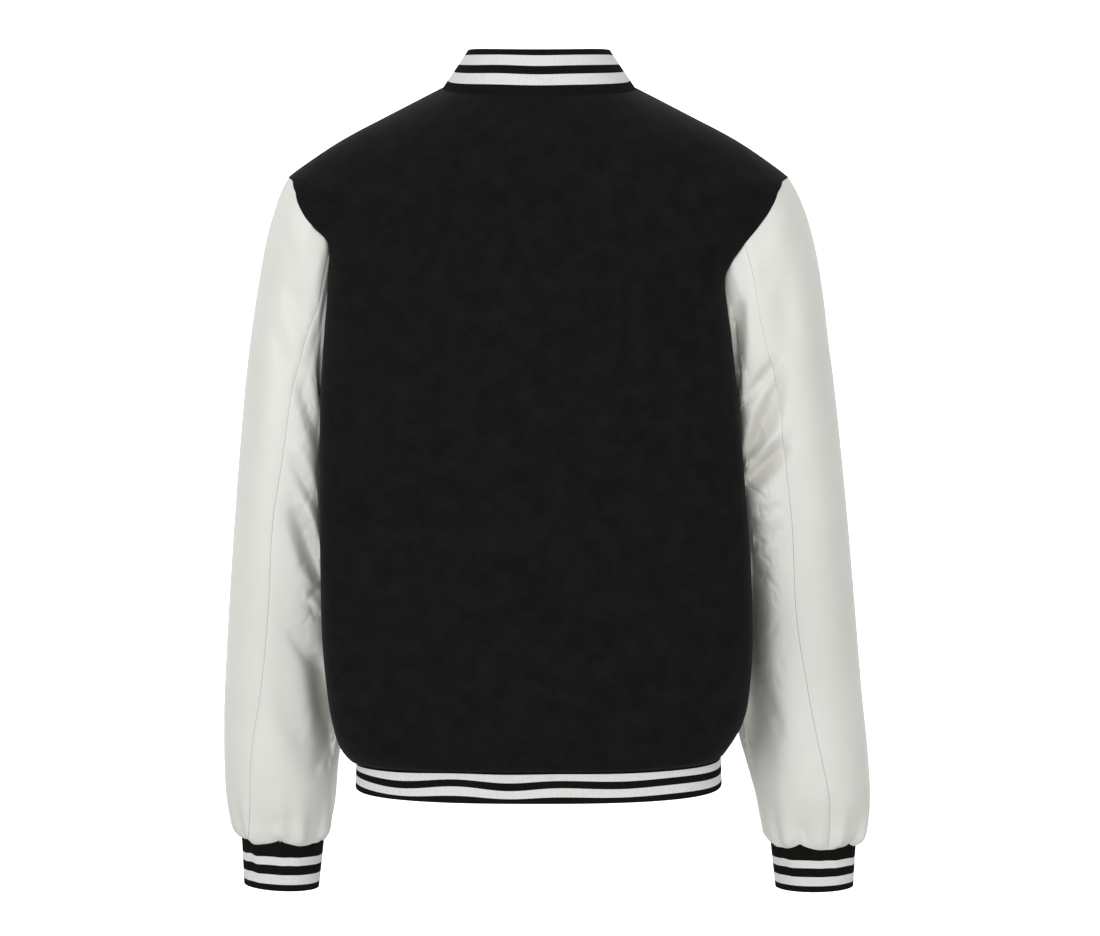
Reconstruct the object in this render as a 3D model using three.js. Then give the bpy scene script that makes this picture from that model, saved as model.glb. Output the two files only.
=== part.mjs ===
import * as THREE from 'three';

// A varsity jacket, filled out as if worn, with nobody in it. Millimetres, +Z up.
// +Y is the back of the jacket and +X is the wearer's left. The origin is the middle of the
// neck opening, level with the points where the shoulders meet the collar.

// Thickness of each cloth, and the gap left at every seam. Right under the arm, where the seam
// turns sharply, the sleeve stands off a little more.
const WOOL = 2.6;
const SLEEVE_HIDE = 2.0;
const RIB_KNIT = 3.0;
const SEAM_GAP = 0.3;
const UNDERARM_EASE = 0.6;

// The band down the middle of the front, and the snap caps on it.
const BAND_HALF_WIDTH = 17.5;
const SNAP_RADIUS = 7.5;
const SNAP_THICKNESS = 3;
const SNAP_HEIGHTS = [-100, -192, -284, -376, -468, -560, -654];

// Columns of cloth in half the back, in a front, and round a sleeve between its two seams.
const HALF_BACK_COLUMNS = 11;
const FRONT_COLUMNS = 11;
const SEAM_COLUMN = { left: 6, right: 5 };

// How full the front half of a body section is, and a sleeve section. 2 is an ellipse.
const FRONT_ROUND = 2.05;
const SLEEVE_ROUND = 2.1;

// How gently a section of the body drops from its sides to its middle, and the hem's edge.
const SECTION_DIP = 1.6;
const HEM_DIP = 0.5;

// Sections of the body from the neck to the hem seam. left and right are the half widths, leftZ
// and rightZ their heights, wideY the place of the widest line. The edges are angles from the
// middle of the back to the armhole or side seam. rows is the number of rows to the next section.
const BODY_COLUMNS = ['left', 'right', 'leftZ', 'rightZ', 'wideY', 'backY', 'backZ', 'frontY',
  'frontZ', 'round', 'leftEdge', 'rightEdge', 'frontEdge', 'rows'];
const BODY_SECTIONS = [
  [92, 92, 0, 0, 4, 78, -16, -70, -78, 2.15, 90, 90, 90, 2],
  [145, 145, -27.5, -27.5, 3, 95, -49, -90, -108, 2.25, 90, 90, 90, 2],
  [192, 192, -53.5, -53.5, 1.5, 104, -77, -102, -132, 2.4, 90, 90, 90, 2],
  [233, 232, -81.5, -81.5, 0, 109.5, -103, -109, -153, 2.5, 90, 90, 90, 1],
  [240, 239, -90, -90, 4, 111, -113, -111, -161, 2.6, 72.4, 70.9, 106.5, 1],
  [243, 240, -100, -100, 9, 112.5, -123, -113, -169, 2.6, 66.8, 65.8, 112, 1],
  [240, 235, -114, -114, 17, 114, -136, -115, -179, 2.6, 65.7, 64.8, 116, 1],
  [228, 222, -131, -131, 27, 115.5, -151, -117, -191, 2.6, 65.8, 65.9, 119, 1],
  [206, 205, -147, -150, 39, 117, -166, -119, -205, 2.6, 73, 67.1, 120.5, 1],
  [197.6, 185, -160, -171, 45, 118.3, -184, -120.5, -221, 2.6, 82, 74, 121, 1],
  [197.8, 174.6, -190, -189, 49, 119.5, -206, -122, -237, 2.6, 88, 85, 121, 2],
  [201.3, 180.5, -240, -240, 54, 121.5, -249, -124, -273, 2.6, 91, 91, 119.5, 2],
  [203.8, 185, -283, -283, 58, 123, -290, -125.5, -307, 2.6, 96, 96, 114.3, 2],
  [204.3, 187, -302, -302, 60, 124, -311, -126.5, -326, 2.6, 107, 107, 107, 3],
  [204.8, 192, -372, -372, 66, 125, -376, -127, -384, 2.6, 107, 107, 107, 3],
  [204, 197.8, -448, -448, 66, 125, -451, -127, -455, 2.6, 106.5, 106.5, 106.5, 3],
  [202.6, 200.3, -524, -524, 58, 124.5, -527, -126.5, -529, 2.6, 106, 106, 106, 2],
  [197.5, 197, -580, -577, 52, 123.5, -583, -125, -584, 2.6, 105, 105, 105, 1],
  [192.3, 191.5, -609, -602, 46, 122.5, -611, -123, -611, 2.6, 104, 104, 104, 1],
  [187, 183.5, -625, -617, 42, 121, -628, -123, -628, 2.6, 103, 103, 103, 1],
  [179, 177, -636, -625, 32, 117.5, -640, -121, -639, 2.6, 102, 102, 102, 1],
  [172.5, 172, -639.5, -629, 26, 111, -643, -118, -644, 2.6, 102, 102, 102, 0],
];
const SHOULDER_TIP = 3;
const UNDERARM = 13;

// The top edge of the collar and the bottom edge of the hem rib, as body sections.
const COLLAR_TOP = [68, 68, 35, 35, 2, 61, 29, -62, -34, 2.15, 90, 90, 90, 0];
const HEM_BOTTOM = [173.5, 173, -660, -657, 24, 109.5, -671.5, -118, -672, 2.5, 90, 90, 90, 0];

// Where the knitted stripes of each rib change colour, as shares from its seam to its edge.
const COLLAR_BANDS = [0, 0.212, 0.452, 0.638, 0.867, 1];
const HEM_BANDS = [0, 0.08, 0.325, 0.55, 0.84, 1];
const CUFF_BANDS = [0, 0.28, 0.455, 0.655, 0.86, 1];

// Roundness of the collar's two front corners: how far back it starts and how low it ends.
const COLLAR_CORNER = 24;
const COLLAR_CORNER_DROP = 0.6;

// Sections of a sleeve from the armhole to the cuff seam. out and in are its outer and inner ends,
// backY and frontY its depth, inRound how square it is at the back beside the body, and seam the
// angle of the back seam from the outer end.
const SLEEVE_COLUMNS = ['outX', 'outZ', 'inX', 'inZ', 'backY', 'frontY', 'inRound', 'seam',
  'rows'];
const LEFT_SLEEVE = [
  [233, -81.5, 195.6, -302, 60, -44, 2.1, 134, 1],
  [241.5, -96, 202, -305, 60, -56, 2.4, 134, 1],
  [249, -114, 202, -311, 60, -66, 2.9, 113.5, 1],
  [257, -138, 200, -319.5, 60, -74, 3.4, 102, 1],
  [264, -168, 201, -331, 59, -80, 3.8, 97.5, 1],
  [271, -206, 204, -345, 57.5, -85, 4, 98, 1],
  [277.5, -249, 205.5, -362, 55.5, -89, 4, 98.5, 1],
  [283, -298, 206.5, -384, 53, -92, 4, 97.2, 3],
  [291.5, -392, 204.5, -441, 43, -100, 3.8, 87, 3],
  [298.5, -484, 198, -511, 30, -103, 3, 81.9, 3],
  [304.4, -576, 187, -583, 16, -107, 2.3, 71.6, 2],
  [305.6, -620, 191.5, -622, 9, -109.5, 2.1, 65.6, 1],
  [305.6, -655, 195.5, -652, 2, -111, 2.1, 62.6, 1],
  [303.8, -684, 198, -682, -6, -109, 2.1, 61, 1],
  [299.5, -706, 202, -703, -16, -104, 2.1, 57, 1],
  [293, -717.5, 207, -719.5, -25, -97, 2.1, 50, 1],
  [289, -721, 210, -725, -29, -92, 2.1, 45, 0],
];
const RIGHT_SLEEVE = [
  [232, -81.5, 179, -302, 60, -44, 2.1, 118, 1],
  [240.5, -94, 187.5, -305, 60, -56, 2.4, 118, 1],
  [248, -108, 188.5, -311, 60, -66, 2.9, 111, 1],
  [256.5, -129, 184.5, -320, 60, -74, 3.4, 102, 1],
  [264.5, -158, 185.5, -331.5, 59, -80, 3.6, 97, 1],
  [271.5, -196, 186.5, -345, 57.5, -85, 3.6, 96, 1],
  [277.5, -242, 188.5, -362, 55.5, -89, 3.6, 96.5, 1],
  [284, -290, 190.5, -384, 53, -92, 3.6, 98, 3],
  [294.5, -386, 196.5, -441, 43, -98, 3.4, 97.3, 3],
  [303.6, -480, 196, -510, 30, -105, 2.6, 96.4, 3],
  [312.2, -574, 187.5, -583, 16, -110, 2.2, 84.7, 2],
  [317, -618, 193.5, -620, 9, -109.5, 2.1, 82, 1],
  [320.3, -652, 202, -650, 2, -111, 2.1, 80, 1],
  [322, -682, 210.5, -680, -6, -109, 2.1, 78.4, 1],
  [320.5, -706, 215.5, -703, -16, -104, 2.1, 78.4, 1],
  [314.5, -721, 221.5, -720, -25, -97, 2.1, 77, 1],
  [308, -727.5, 226, -727, -29, -92, 2.1, 74.5, 0],
];
const FRONT_SEAM_ANGLE = 262;

// Share of the armhole's own shape left in the first sections of a sleeve.
const ARMHOLE_FADE = [1, 0.8, 0.58, 0.38, 0.22, 0.1, 0.03];

// Bottom edge of a cuff: its middle, half width and depth, its height, and how much higher its
// outer end is.
const CUFF_COLUMNS = ['midX', 'halfX', 'midY', 'halfY', 'z', 'tilt'];
const CUFF_ENDS = { left: [251, 36.5, -61, 27, -768.5, 2], right: [268, 38, -61, 28, -769.5, 0.5] };

// The largest folds of the sleeves, seen from behind, as soft troughs from one place to another.
// face is 1 on the back of the sleeve and -1 on its front. A negative depth is a ridge.
const FOLD_COLUMNS = ['face', 'fromX', 'fromZ', 'toX', 'toZ', 'width', 'depth'];
const FOLDS = {
  left: [
    [1, 227, -295, 207, -343, 17, 5],
    [1, 229, -365, 207, -399, 15, 4],
    [1, 230, -409, 206, -452, 16, 6],
    [1, 238, -521, 214, -586, 20, 5],
    [1, 213, -586, 197, -620, 18, 6],
    [-1, 240, -330, 208, -372, 18, 6],
    [-1, 246, -410, 207, -455, 18, 6],
    [-1, 250, -560, 212, -612, 20, 5],
  ],
  right: [
    [1, 186, -226, 192, -258, 11, 5],
    [1, 223, -302, 193, -345, 17, 5],
    [1, 226, -337, 197, -367, 15, 5],
    [1, 210, -455, 199, -471, 16, 5],
    [1, 215, -577, 228, -617, 18, 6],
    [-1, 244, -322, 200, -366, 18, 6],
    [-1, 250, -418, 204, -452, 18, 6],
    [-1, 262, -548, 216, -600, 20, 5],
  ],
};

const radians = (degrees) => degrees * Math.PI / 180;
const vec = (x, y, z) => new THREE.Vector3(x, y, z);
const toward = (from, to, share) => from.clone().lerp(to, share);

// One row of a table with its columns named.
function named(row, columns) {
  return Object.fromEntries(columns.map((column, i) => [column, row[i]]));
}

// A table read between its rows along a smooth curve. The edges of the panels run straight.
function tableAt(table, columns, place) {
  const last = table.length - 1;
  const i = Math.min(Math.max(Math.floor(place), 0), last - 1);
  const t = place - i;
  const [before, from, to, after] = [i - 1, i, i + 1, i + 2]
    .map((k) => table[Math.min(Math.max(k, 0), last)]);
  const row = columns.map((column, c) => {
    if (column.endsWith('Edge')) return from[c] + (to[c] - from[c]) * t;
    return 0.5 * (2 * from[c] + (to[c] - before[c]) * t
      + (2 * before[c] - 5 * from[c] + 4 * to[c] - after[c]) * t * t
      + (3 * from[c] - before[c] - 3 * to[c] + after[c]) * t * t * t);
  });
  return named(row, columns);
}

// Places of the rows of cloth between two sections of a table.
function rowPlaces(table, first, last) {
  const places = [];
  for (let i = first; i < last; i += 1) {
    const steps = table[i][table[i].length - 1];
    for (let k = 0; k < steps; k += 1) places.push(i + k / steps);
  }
  return [...places, last];
}

// A point on a body section. The angle is 0 at the middle of the back and grows to the left.
function sectionPoint(section, angle, dip = SECTION_DIP) {
  const [across, along] = [Math.sin(angle), Math.cos(angle)];
  const [isLeft, isBack] = [across >= 0, along >= 0];
  const power = 2 / (isBack ? section.round : FRONT_ROUND);
  const sideZ = isLeft ? section.leftZ : section.rightZ;
  const middleY = isBack ? section.backY : section.frontY;
  const middleZ = isBack ? section.backZ : section.frontZ;
  return vec(
    Math.sign(across) * (isLeft ? section.left : section.right) * Math.abs(across) ** power,
    section.wideY + (middleY - section.wideY) * Math.abs(along) ** power,
    sideZ + (middleZ - sideZ) * Math.abs(along) ** dip,
  );
}

const bodySection = (place) => tableAt(BODY_SECTIONS, BODY_COLUMNS, place);

// The direction straight out of the body at a place on it.
function bodyNormal(place, angle) {
  const last = BODY_SECTIONS.length - 1;
  const step = 0.02;
  const above = sectionPoint(bodySection(Math.max(place - step, 0)), angle);
  const below = sectionPoint(bodySection(Math.min(place + step, last)), angle);
  const section = bodySection(place);
  const ahead = sectionPoint(section, angle + step);
  const behind = sectionPoint(section, angle - step);
  return ahead.sub(behind).cross(below.sub(above)).normalize();
}

// Angles that divide the run of a section between two angles by length, in millimetres from
// the first angle. spread turns the whole length into the lengths wanted.
function anglesByLength(section, from, to, spread) {
  const steps = 96;
  const angles = [];
  const lengths = [0];
  for (let k = 0; k <= steps; k += 1) angles.push(from + (to - from) * k / steps);
  for (let k = 1; k <= steps; k += 1) {
    const step = sectionPoint(section, angles[k]).distanceTo(sectionPoint(section, angles[k - 1]));
    lengths.push(lengths[k - 1] + step);
  }
  return spread(lengths[steps]).map((length) => {
    const k = Math.min(Math.max(lengths.findIndex((l) => l >= length), 1), steps);
    const share = (length - lengths[k - 1]) / (lengths[k] - lengths[k - 1]);
    return angles[k - 1] + (angles[k] - angles[k - 1]) * share;
  });
}

const evenly = (count, from, to) => Array.from({ length: count + 1 },
  (_, k) => from + (to - from) * k / count);

// Angles of the columns of the back, and of a front, on one section. side is 1 left, -1 right.
function backAngles(section) {
  const half = (edge) => anglesByLength(section, 0, edge,
    (length) => evenly(HALF_BACK_COLUMNS, 0, length - SEAM_GAP / 2));
  const right = half(-radians(section.rightEdge)).reverse();
  return [...right, ...half(radians(section.leftEdge)).slice(1)];
}

function frontAngles(section, side) {
  const angles = anglesByLength(section, side * radians(section.frontEdge), side * Math.PI,
    (length) => [...evenly(FRONT_COLUMNS - 1, SEAM_GAP / 2, length - BAND_HALF_WIDTH),
      length - SEAM_GAP / 2]);
  return side > 0 ? angles : angles.reverse();
}

// A panel of the body: its points and the directions out of it, row by row.
function bodyPanel(anglesOf) {
  const places = rowPlaces(BODY_SECTIONS, 0, BODY_SECTIONS.length - 1);
  const rows = places.map((place) => {
    const section = bodySection(place);
    const angles = anglesOf(section);
    return {
      place,
      points: angles.map((angle) => sectionPoint(section, angle)),
      normals: angles.map((angle) => bodyNormal(place, angle)),
    };
  });
  return { rows, points: rows.map((row) => row.points), normals: rows.map((row) => row.normals) };
}

// The way through a seam where two cloths meet at an angle, as long as one millimetre of cloth.
function mitre(normalA, normalB) {
  const middle = normalA.clone().add(normalB).normalize();
  return middle.multiplyScalar(1 / Math.max(middle.dot(normalA), 0.85));
}

// Directions out of a grid of points. centreOf gives the middle of a row, to know which is out.
function gridNormals(grid, closed, centreOf) {
  const rows = grid.length;
  return grid.map((row, r) => row.map((point, c) => {
    const count = row.length;
    const next = closed ? (c + 1) % count : Math.min(c + 1, count - 1);
    const previous = closed ? (c + count - 1) % count : Math.max(c - 1, 0);
    const across = row[next].clone().sub(row[previous]);
    const down = grid[Math.min(r + 1, rows - 1)][c].clone().sub(grid[Math.max(r - 1, 0)][c]);
    const out = across.cross(down).normalize();
    return out.dot(point.clone().sub(centreOf(r))) < 0 ? out.negate() : out;
  }));
}

// The second face of a cloth: every point moved against its direction by the thickness.
function offsetGrid(points, normals, distance) {
  return points.map((row, r) => row.map((point, c) => point.clone()
    .addScaledVector(normals[r][c], distance)));
}

// A cloth with thickness, closed all round, between its outer and inner grids of points.
function cloth(name, outer, inner, colour, closed = false) {
  const [rows, columns] = [outer.length, outer[0].length];
  const positions = [...outer.flat(), ...inner.flat()].flatMap((p) => [p.x, p.y, p.z]);
  const at = (side, r, c) => side * rows * columns + r * columns + (c % columns);
  const triangles = [];
  const quad = (a, b, c, d) => triangles.push([a, b, c], [b, d, c]);
  const lastColumn = closed ? columns : columns - 1;
  for (let c = 0; c < lastColumn; c += 1) {
    for (let r = 0; r < rows - 1; r += 1) {
      quad(at(0, r, c), at(0, r, c + 1), at(0, r + 1, c), at(0, r + 1, c + 1));
      quad(at(1, r, c + 1), at(1, r, c), at(1, r + 1, c + 1), at(1, r + 1, c));
    }
    quad(at(0, 0, c), at(1, 0, c), at(0, 0, c + 1), at(1, 0, c + 1));
    quad(at(0, rows - 1, c), at(0, rows - 1, c + 1), at(1, rows - 1, c), at(1, rows - 1, c + 1));
  }
  for (let r = 0; !closed && r < rows - 1; r += 1) {
    quad(at(0, r, 0), at(0, r + 1, 0), at(1, r, 0), at(1, r + 1, 0));
    quad(at(0, r, lastColumn), at(1, r, lastColumn), at(0, r + 1, lastColumn),
      at(1, r + 1, lastColumn));
  }
  return solidMesh(name, positions, triangles, colour);
}

// A mesh from points and triangles, turned to face out if it was built inside out.
function solidMesh(name, positions, triangles, colour) {
  const corner = (i) => vec(...positions.slice(3 * i, 3 * i + 3));
  const volume = triangles.reduce((sum, [a, b, c]) => sum
    + corner(a).dot(corner(b).cross(corner(c))), 0);
  const facing = volume < 0 ? triangles.map(([a, b, c]) => [a, c, b]) : triangles;
  const geometry = new THREE.BufferGeometry();
  geometry.setAttribute('position', new THREE.Float32BufferAttribute(positions, 3));
  geometry.setIndex(facing.flat());
  geometry.computeVertexNormals();
  const mesh = new THREE.Mesh(geometry, new THREE.MeshStandardMaterial({ color: colour }));
  mesh.name = name;
  return mesh;
}

// The armhole of one side as a loop from the shoulder tip, down the back and up the front.
function armholeLoop(side) {
  const places = rowPlaces(BODY_SECTIONS, SHOULDER_TIP, UNDERARM);
  const edge = (place, column) => {
    const section = bodySection(place);
    const angle = side * radians(section[column]);
    return { point: sectionPoint(section, angle), normal: bodyNormal(place, angle), place };
  };
  const back = places.map((place) => edge(place, side > 0 ? 'leftEdge' : 'rightEdge'));
  const front = places.map((place) => edge(place, 'frontEdge')).reverse();
  return [...back, ...front.slice(1, -1)];
}

// A point on a sleeve section. The angle is 0 at the outer end and grows over the back.
function sleevePoint(section, side, angle) {
  const [out, back] = [Math.cos(angle), Math.sin(angle)];
  const power = 2 / SLEEVE_ROUND;
  const reach = Math.sign(out) * Math.abs(out) ** power;
  const square = (1 - Math.abs(reach) ** section.inRound) ** (1 / section.inRound);
  const depth = out < 0 && back > 0 ? square : Math.sign(back) * Math.abs(back) ** power;
  const middleY = (section.backY + section.frontY) / 2;
  return vec(
    side * ((section.outX + section.inX) / 2 + (section.outX - section.inX) / 2 * reach),
    middleY + (section.backY - section.frontY) / 2 * depth,
    (section.outZ + section.inZ) / 2 + (section.outZ - section.inZ) / 2 * reach,
  );
}

// Angles of the columns of a sleeve section. Its seams keep the same columns all the way down.
function sleeveAngles(section, loopAngles, armholeShare, seamColumn) {
  const half = loopAngles.length / 2;
  const [seam, frontSeam] = [section.seam, FRONT_SEAM_ANGLE];
  const spread = (c) => {
    if (c <= seamColumn) return seam * c / seamColumn;
    if (c <= half) return seam + (180 - seam) * (c - seamColumn) / (half - seamColumn);
    const [late, last] = [c - half, half - seamColumn];
    if (late <= last) return 180 + (frontSeam - 180) * late / last;
    return frontSeam + (360 - frontSeam) * (late - last) / seamColumn;
  };
  return loopAngles.map((angle, c) => radians(spread(c)) * (1 - armholeShare)
    + angle * armholeShare);
}

// How far a fold moves a point of the sleeve along Y, from its distance to the fold's line.
function foldShift(fold, point, normal) {
  const side = Math.sign(point.x);
  const start = vec(fold.fromX * side, 0, fold.fromZ);
  const end = vec(fold.toX * side, 0, fold.toZ);
  const nearest = new THREE.Line3(start, end)
    .closestPointToPoint(vec(point.x, 0, point.z), true, vec(0, 0, 0));
  const distance = nearest.distanceTo(vec(point.x, 0, point.z));
  const facing = Math.min(Math.max(normal.y * fold.face * 2, 0), 1);
  return -fold.face * fold.depth * facing * Math.exp(-((distance / fold.width) ** 2));
}

// The whole sleeve of one side as a grid of points, closed round, from armhole to cuff seam.
function sleeveGrid(side) {
  const table = side > 0 ? LEFT_SLEEVE : RIGHT_SLEEVE;
  const seamColumn = SEAM_COLUMN[side > 0 ? 'left' : 'right'];
  const loop = armholeLoop(side);
  const sectionAt = (place) => tableAt(table, SLEEVE_COLUMNS, place);
  const first = sectionAt(0);
  const midZ = (first.outZ + first.inZ) / 2;
  const loopAngles = loop.map(({ point }, c) => {
    const share = Math.min(Math.max((point.z - midZ) / (first.outZ - midZ), -1), 1);
    const angle = Math.acos(Math.sign(share) * Math.abs(share) ** (SLEEVE_ROUND / 2));
    return c <= loop.length / 2 ? angle : 2 * Math.PI - angle;
  });
  const places = rowPlaces(table, 0, table.length - 1);
  const centres = [];
  const plain = places.map((place) => {
    const section = sectionAt(place);
    centres.push(vec(side * (section.outX + section.inX) / 2,
      (section.backY + section.frontY) / 2, (section.outZ + section.inZ) / 2));
    const fade = place < ARMHOLE_FADE.length ? ARMHOLE_FADE[place] : 0;
    const angles = sleeveAngles(section, loopAngles, Math.max(1 - place / 4, 0), seamColumn);
    return angles.map((angle, c) => sleevePoint(section, side, angle)
      .addScaledVector(loop[c].point.clone().sub(sleevePoint(first, side, loopAngles[c])), fade));
  });
  const centreOf = (r) => centres[r];
  const folds = FOLDS[side > 0 ? 'left' : 'right'].map((row) => named(row, FOLD_COLUMNS));
  const normals = gridNormals(plain, true, centreOf);
  const points = plain.map((row, r) => row.map((point, c) => {
    const shift = folds.reduce((sum, fold) => sum + foldShift(fold, point, normals[r][c]), 0);
    return point.clone().add(vec(0, r > 0 ? shift : 0, 0));
  }));
  const seam = armholeSeam(loop, points, gridNormals(points, true, centreOf));
  points[0] = seam.map(({ point, toSleeve }, c) => {
    const ease = Math.abs(c - seam.length / 2) <= 2 ? UNDERARM_EASE : 0;
    return point.clone().addScaledVector(toSleeve, SEAM_GAP / 2 + ease);
  });
  return { points, normals: gridNormals(points, true, centreOf), seam };
}

// The armhole seam: at each point the way through both cloths, along the seam and to the sleeve.
function armholeSeam(loop, points, normals) {
  return loop.map(({ point, normal, place }, c) => {
    const next = loop[(c + 1) % loop.length].point;
    const previous = loop[(c + loop.length - 1) % loop.length].point;
    const along = next.clone().sub(previous).normalize();
    const through = mitre(normal, normals[0][c]);
    const toSleeve = along.clone().cross(through).normalize();
    if (toSleeve.dot(points[1][c].clone().sub(point)) < 0) toSleeve.negate();
    return { point, place, along, through, toSleeve };
  });
}

// Some columns of a closed grid, with its first and last moved in by half a seam. The way in is
// taken from the outer grid, so both faces of a cloth stay level.
function stripOf(grid, outer, columns) {
  return grid.map((row, r) => {
    const count = row.length;
    const strip = columns.map((c) => row[c % count].clone());
    const along = (c) => outer[r][(c + 1) % count].clone()
      .sub(outer[r][(c + count - 1) % count]).normalize();
    strip[0].addScaledVector(along(columns[0]), SEAM_GAP / 2);
    strip[strip.length - 1].addScaledVector(along(columns[columns.length - 1]), -SEAM_GAP / 2);
    return strip;
  });
}

// Both pieces of a sleeve and its cuff.
function sleevePieces(side, name, sleeve, colour, ribColour) {
  const { points, normals, seam } = sleeve;
  const cuff = cuffGrid(side, points[points.length - 1]);
  const inner = offsetGrid(points, normals, -SLEEVE_HIDE);
  const last = points.length - 1;
  inner[0] = points[0].map((point, c) => point.clone()
    .addScaledVector(seam[c].through, -SLEEVE_HIDE));
  inner[last] = points[last].map((point, c) => point.clone()
    .addScaledVector(mitre(normals[last][c], cuff.normals[0][c]), -SLEEVE_HIDE));
  const count = seam.length;
  const seamColumn = SEAM_COLUMN[name];
  const under = evenly(count - 2 * seamColumn, seamColumn, count - seamColumn);
  const top = evenly(2 * seamColumn, count - seamColumn, count + seamColumn);
  const cuffInner = offsetGrid(cuff.points, cuff.normals, -RIB_KNIT);
  cuffInner[0] = cuff.points[0].map((point, c) => point.clone()
    .addScaledVector(mitre(cuff.normals[0][c], normals[last][c]), -RIB_KNIT));
  return [
    cloth(`sleeve_${name}_top`, stripOf(points, points, top), stripOf(inner, points, top), colour),
    cloth(`sleeve_${name}_under`, stripOf(points, points, under), stripOf(inner, points, under),
      colour),
    cloth(`cuff_${name}`, cuff.points, cuffInner, ribColour, true),
  ];
}

// A cuff from the sleeve's last row to its bottom edge, with a row at each change of stripe.
function cuffGrid(side, seamRow) {
  const end = named(CUFF_ENDS[side > 0 ? 'left' : 'right'], CUFF_COLUMNS);
  const centre = seamRow.reduce((sum, p) => sum.add(p), vec(0, 0, 0))
    .multiplyScalar(1 / seamRow.length);
  const bottom = seamRow.map((point) => {
    const angle = Math.atan2((point.y - centre.y) / end.halfY, (point.x - centre.x) / end.halfX);
    return vec(side * end.midX + end.halfX * Math.cos(angle),
      end.midY + end.halfY * Math.sin(angle), end.z + side * end.tilt * Math.cos(angle));
  });
  const points = CUFF_BANDS.map((share) => seamRow.map((point, c) => toward(point, bottom[c],
    share).add(vec(0, 0, -SEAM_GAP * (1 - share)))));
  const centreOf = (r) => centre.clone().setZ(points[r][0].z);
  return { points, normals: gridNormals(points, true, centreOf) };
}

// A rib strip from a seam row to its free edge, open at the middle of the front.
function ribStrip(name, seam, edge, bands, colour, heightShare) {
  const seamSection = seam.section;
  const points = bands.map((band) => seam.angles.map((angle, c) => {
    const from = sectionPoint(seamSection, angle);
    const to = sectionPoint(edge.section, angle, edge.dip);
    const length = from.distanceTo(to);
    const share = (SEAM_GAP + (length - SEAM_GAP) * band * heightShare(c)) / length;
    return toward(from, to, share);
  }));
  const normals = gridNormals(points, false, (r) => vec(0, 0, points[r][0].z));
  const inner = offsetGrid(points, normals, -RIB_KNIT);
  inner[0] = points[0].map((point, c) => point.clone()
    .addScaledVector(mitre(normals[0][c], seam.normals[c]), -RIB_KNIT));
  return { mesh: cloth(name, points, inner, colour), points, normals };
}

// The seam row shared by a rib and the three panels, from the middle of the front round the
// right side, the back and the left side to the middle of the front again.
function seamRow(place) {
  const section = bodySection(place);
  const angles = [...frontAngles(section, -1), ...backAngles(section).slice(1, -1),
    ...frontAngles(section, 1)];
  const whole = angles.map((angle) => {
    const onSeam = Math.abs(Math.abs(angle) - radians(section.frontEdge)) < 0.01;
    return onSeam ? Math.sign(angle) * radians(section.frontEdge) : angle;
  });
  return { section, angles: whole, normals: whole.map((angle) => bodyNormal(place, angle)) };
}

// The collar gets lower in a round corner at each end.
function collarHeight(seam) {
  const points = seam.angles.map((angle) => sectionPoint(seam.section, angle));
  return (c) => {
    const distance = Math.abs(points[c].x);
    const isFront = points[c].y < 0;
    const share = isFront ? Math.max(1 - distance / COLLAR_CORNER, 0) : 0;
    return 1 - COLLAR_CORNER_DROP * (1 - Math.sqrt(1 - share * share));
  };
}

// A panel of the body as cloth, mitred where it meets the ribs and the sleeves.
function panelCloth(name, panel, colour, ribs, armholes) {
  const inner = offsetGrid(panel.points, panel.normals, -WOOL);
  const last = panel.points.length - 1;
  const through = (r, c, normal) => {
    inner[r][c] = panel.points[r][c].clone()
      .addScaledVector(mitre(panel.normals[r][c], normal), -WOOL);
  };
  panel.points[0].forEach((point, c) => through(0, c, ribs.collar(point)));
  panel.points[last].forEach((point, c) => through(last, c, ribs.hem(point)));
  armholes.forEach(({ column, isFront, sleeve }) => {
    const { seam } = sleeve;
    const half = seam.length / 2;
    for (let k = 0; k <= half; k += 1) {
      const at = isFront ? (2 * half - k) % (2 * half) : k;
      const { point, place, along, through, toSleeve } = seam[at];
      const r = panel.rows.findIndex((row) => row.place === place);
      const c = column < 0 ? panel.points[r].length - 1 : 0;
      const corner = { 0: 1, [half]: -1 }[k] || 0;
      panel.points[r][c] = point.clone().addScaledVector(toSleeve, -SEAM_GAP / 2)
        .addScaledVector(along, (isFront ? -corner : corner) * SEAM_GAP / 2);
      inner[r][c] = panel.points[r][c].clone().addScaledVector(through, -WOOL);
    }
  });
  return cloth(name, panel.points, inner, colour);
}

// The direction out of a rib nearest to a point of its seam.
function nearestNormal(rib) {
  return (point) => {
    const distances = rib.points[0].map((p) => p.distanceTo(point));
    return rib.normals[0][distances.indexOf(Math.min(...distances))];
  };
}

// The front band, lying on the edge columns of both fronts and on the hem rib.
function frontBand(left, right, hem) {
  const row = (rightRow, leftRow) => [rightRow[1], toward(rightRow[0], leftRow.at(-1), 0.5),
    leftRow.at(-2)];
  const onFronts = right.points.map((rightRow, r) => row(rightRow, left.points[r]));
  const onRib = hem.points.slice(1).map((ribRow) => row(ribRow, ribRow));
  const points = [...onFronts, ...onRib];
  const normals = gridNormals(points, false, () => vec(0, 0, 0))
    .map((directions) => directions.map((n) => (n.y > 0 ? n.negate() : n)));
  const under = offsetGrid(points, normals, SEAM_GAP);
  return { points: offsetGrid(under, normals, WOOL), under };
}

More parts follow.
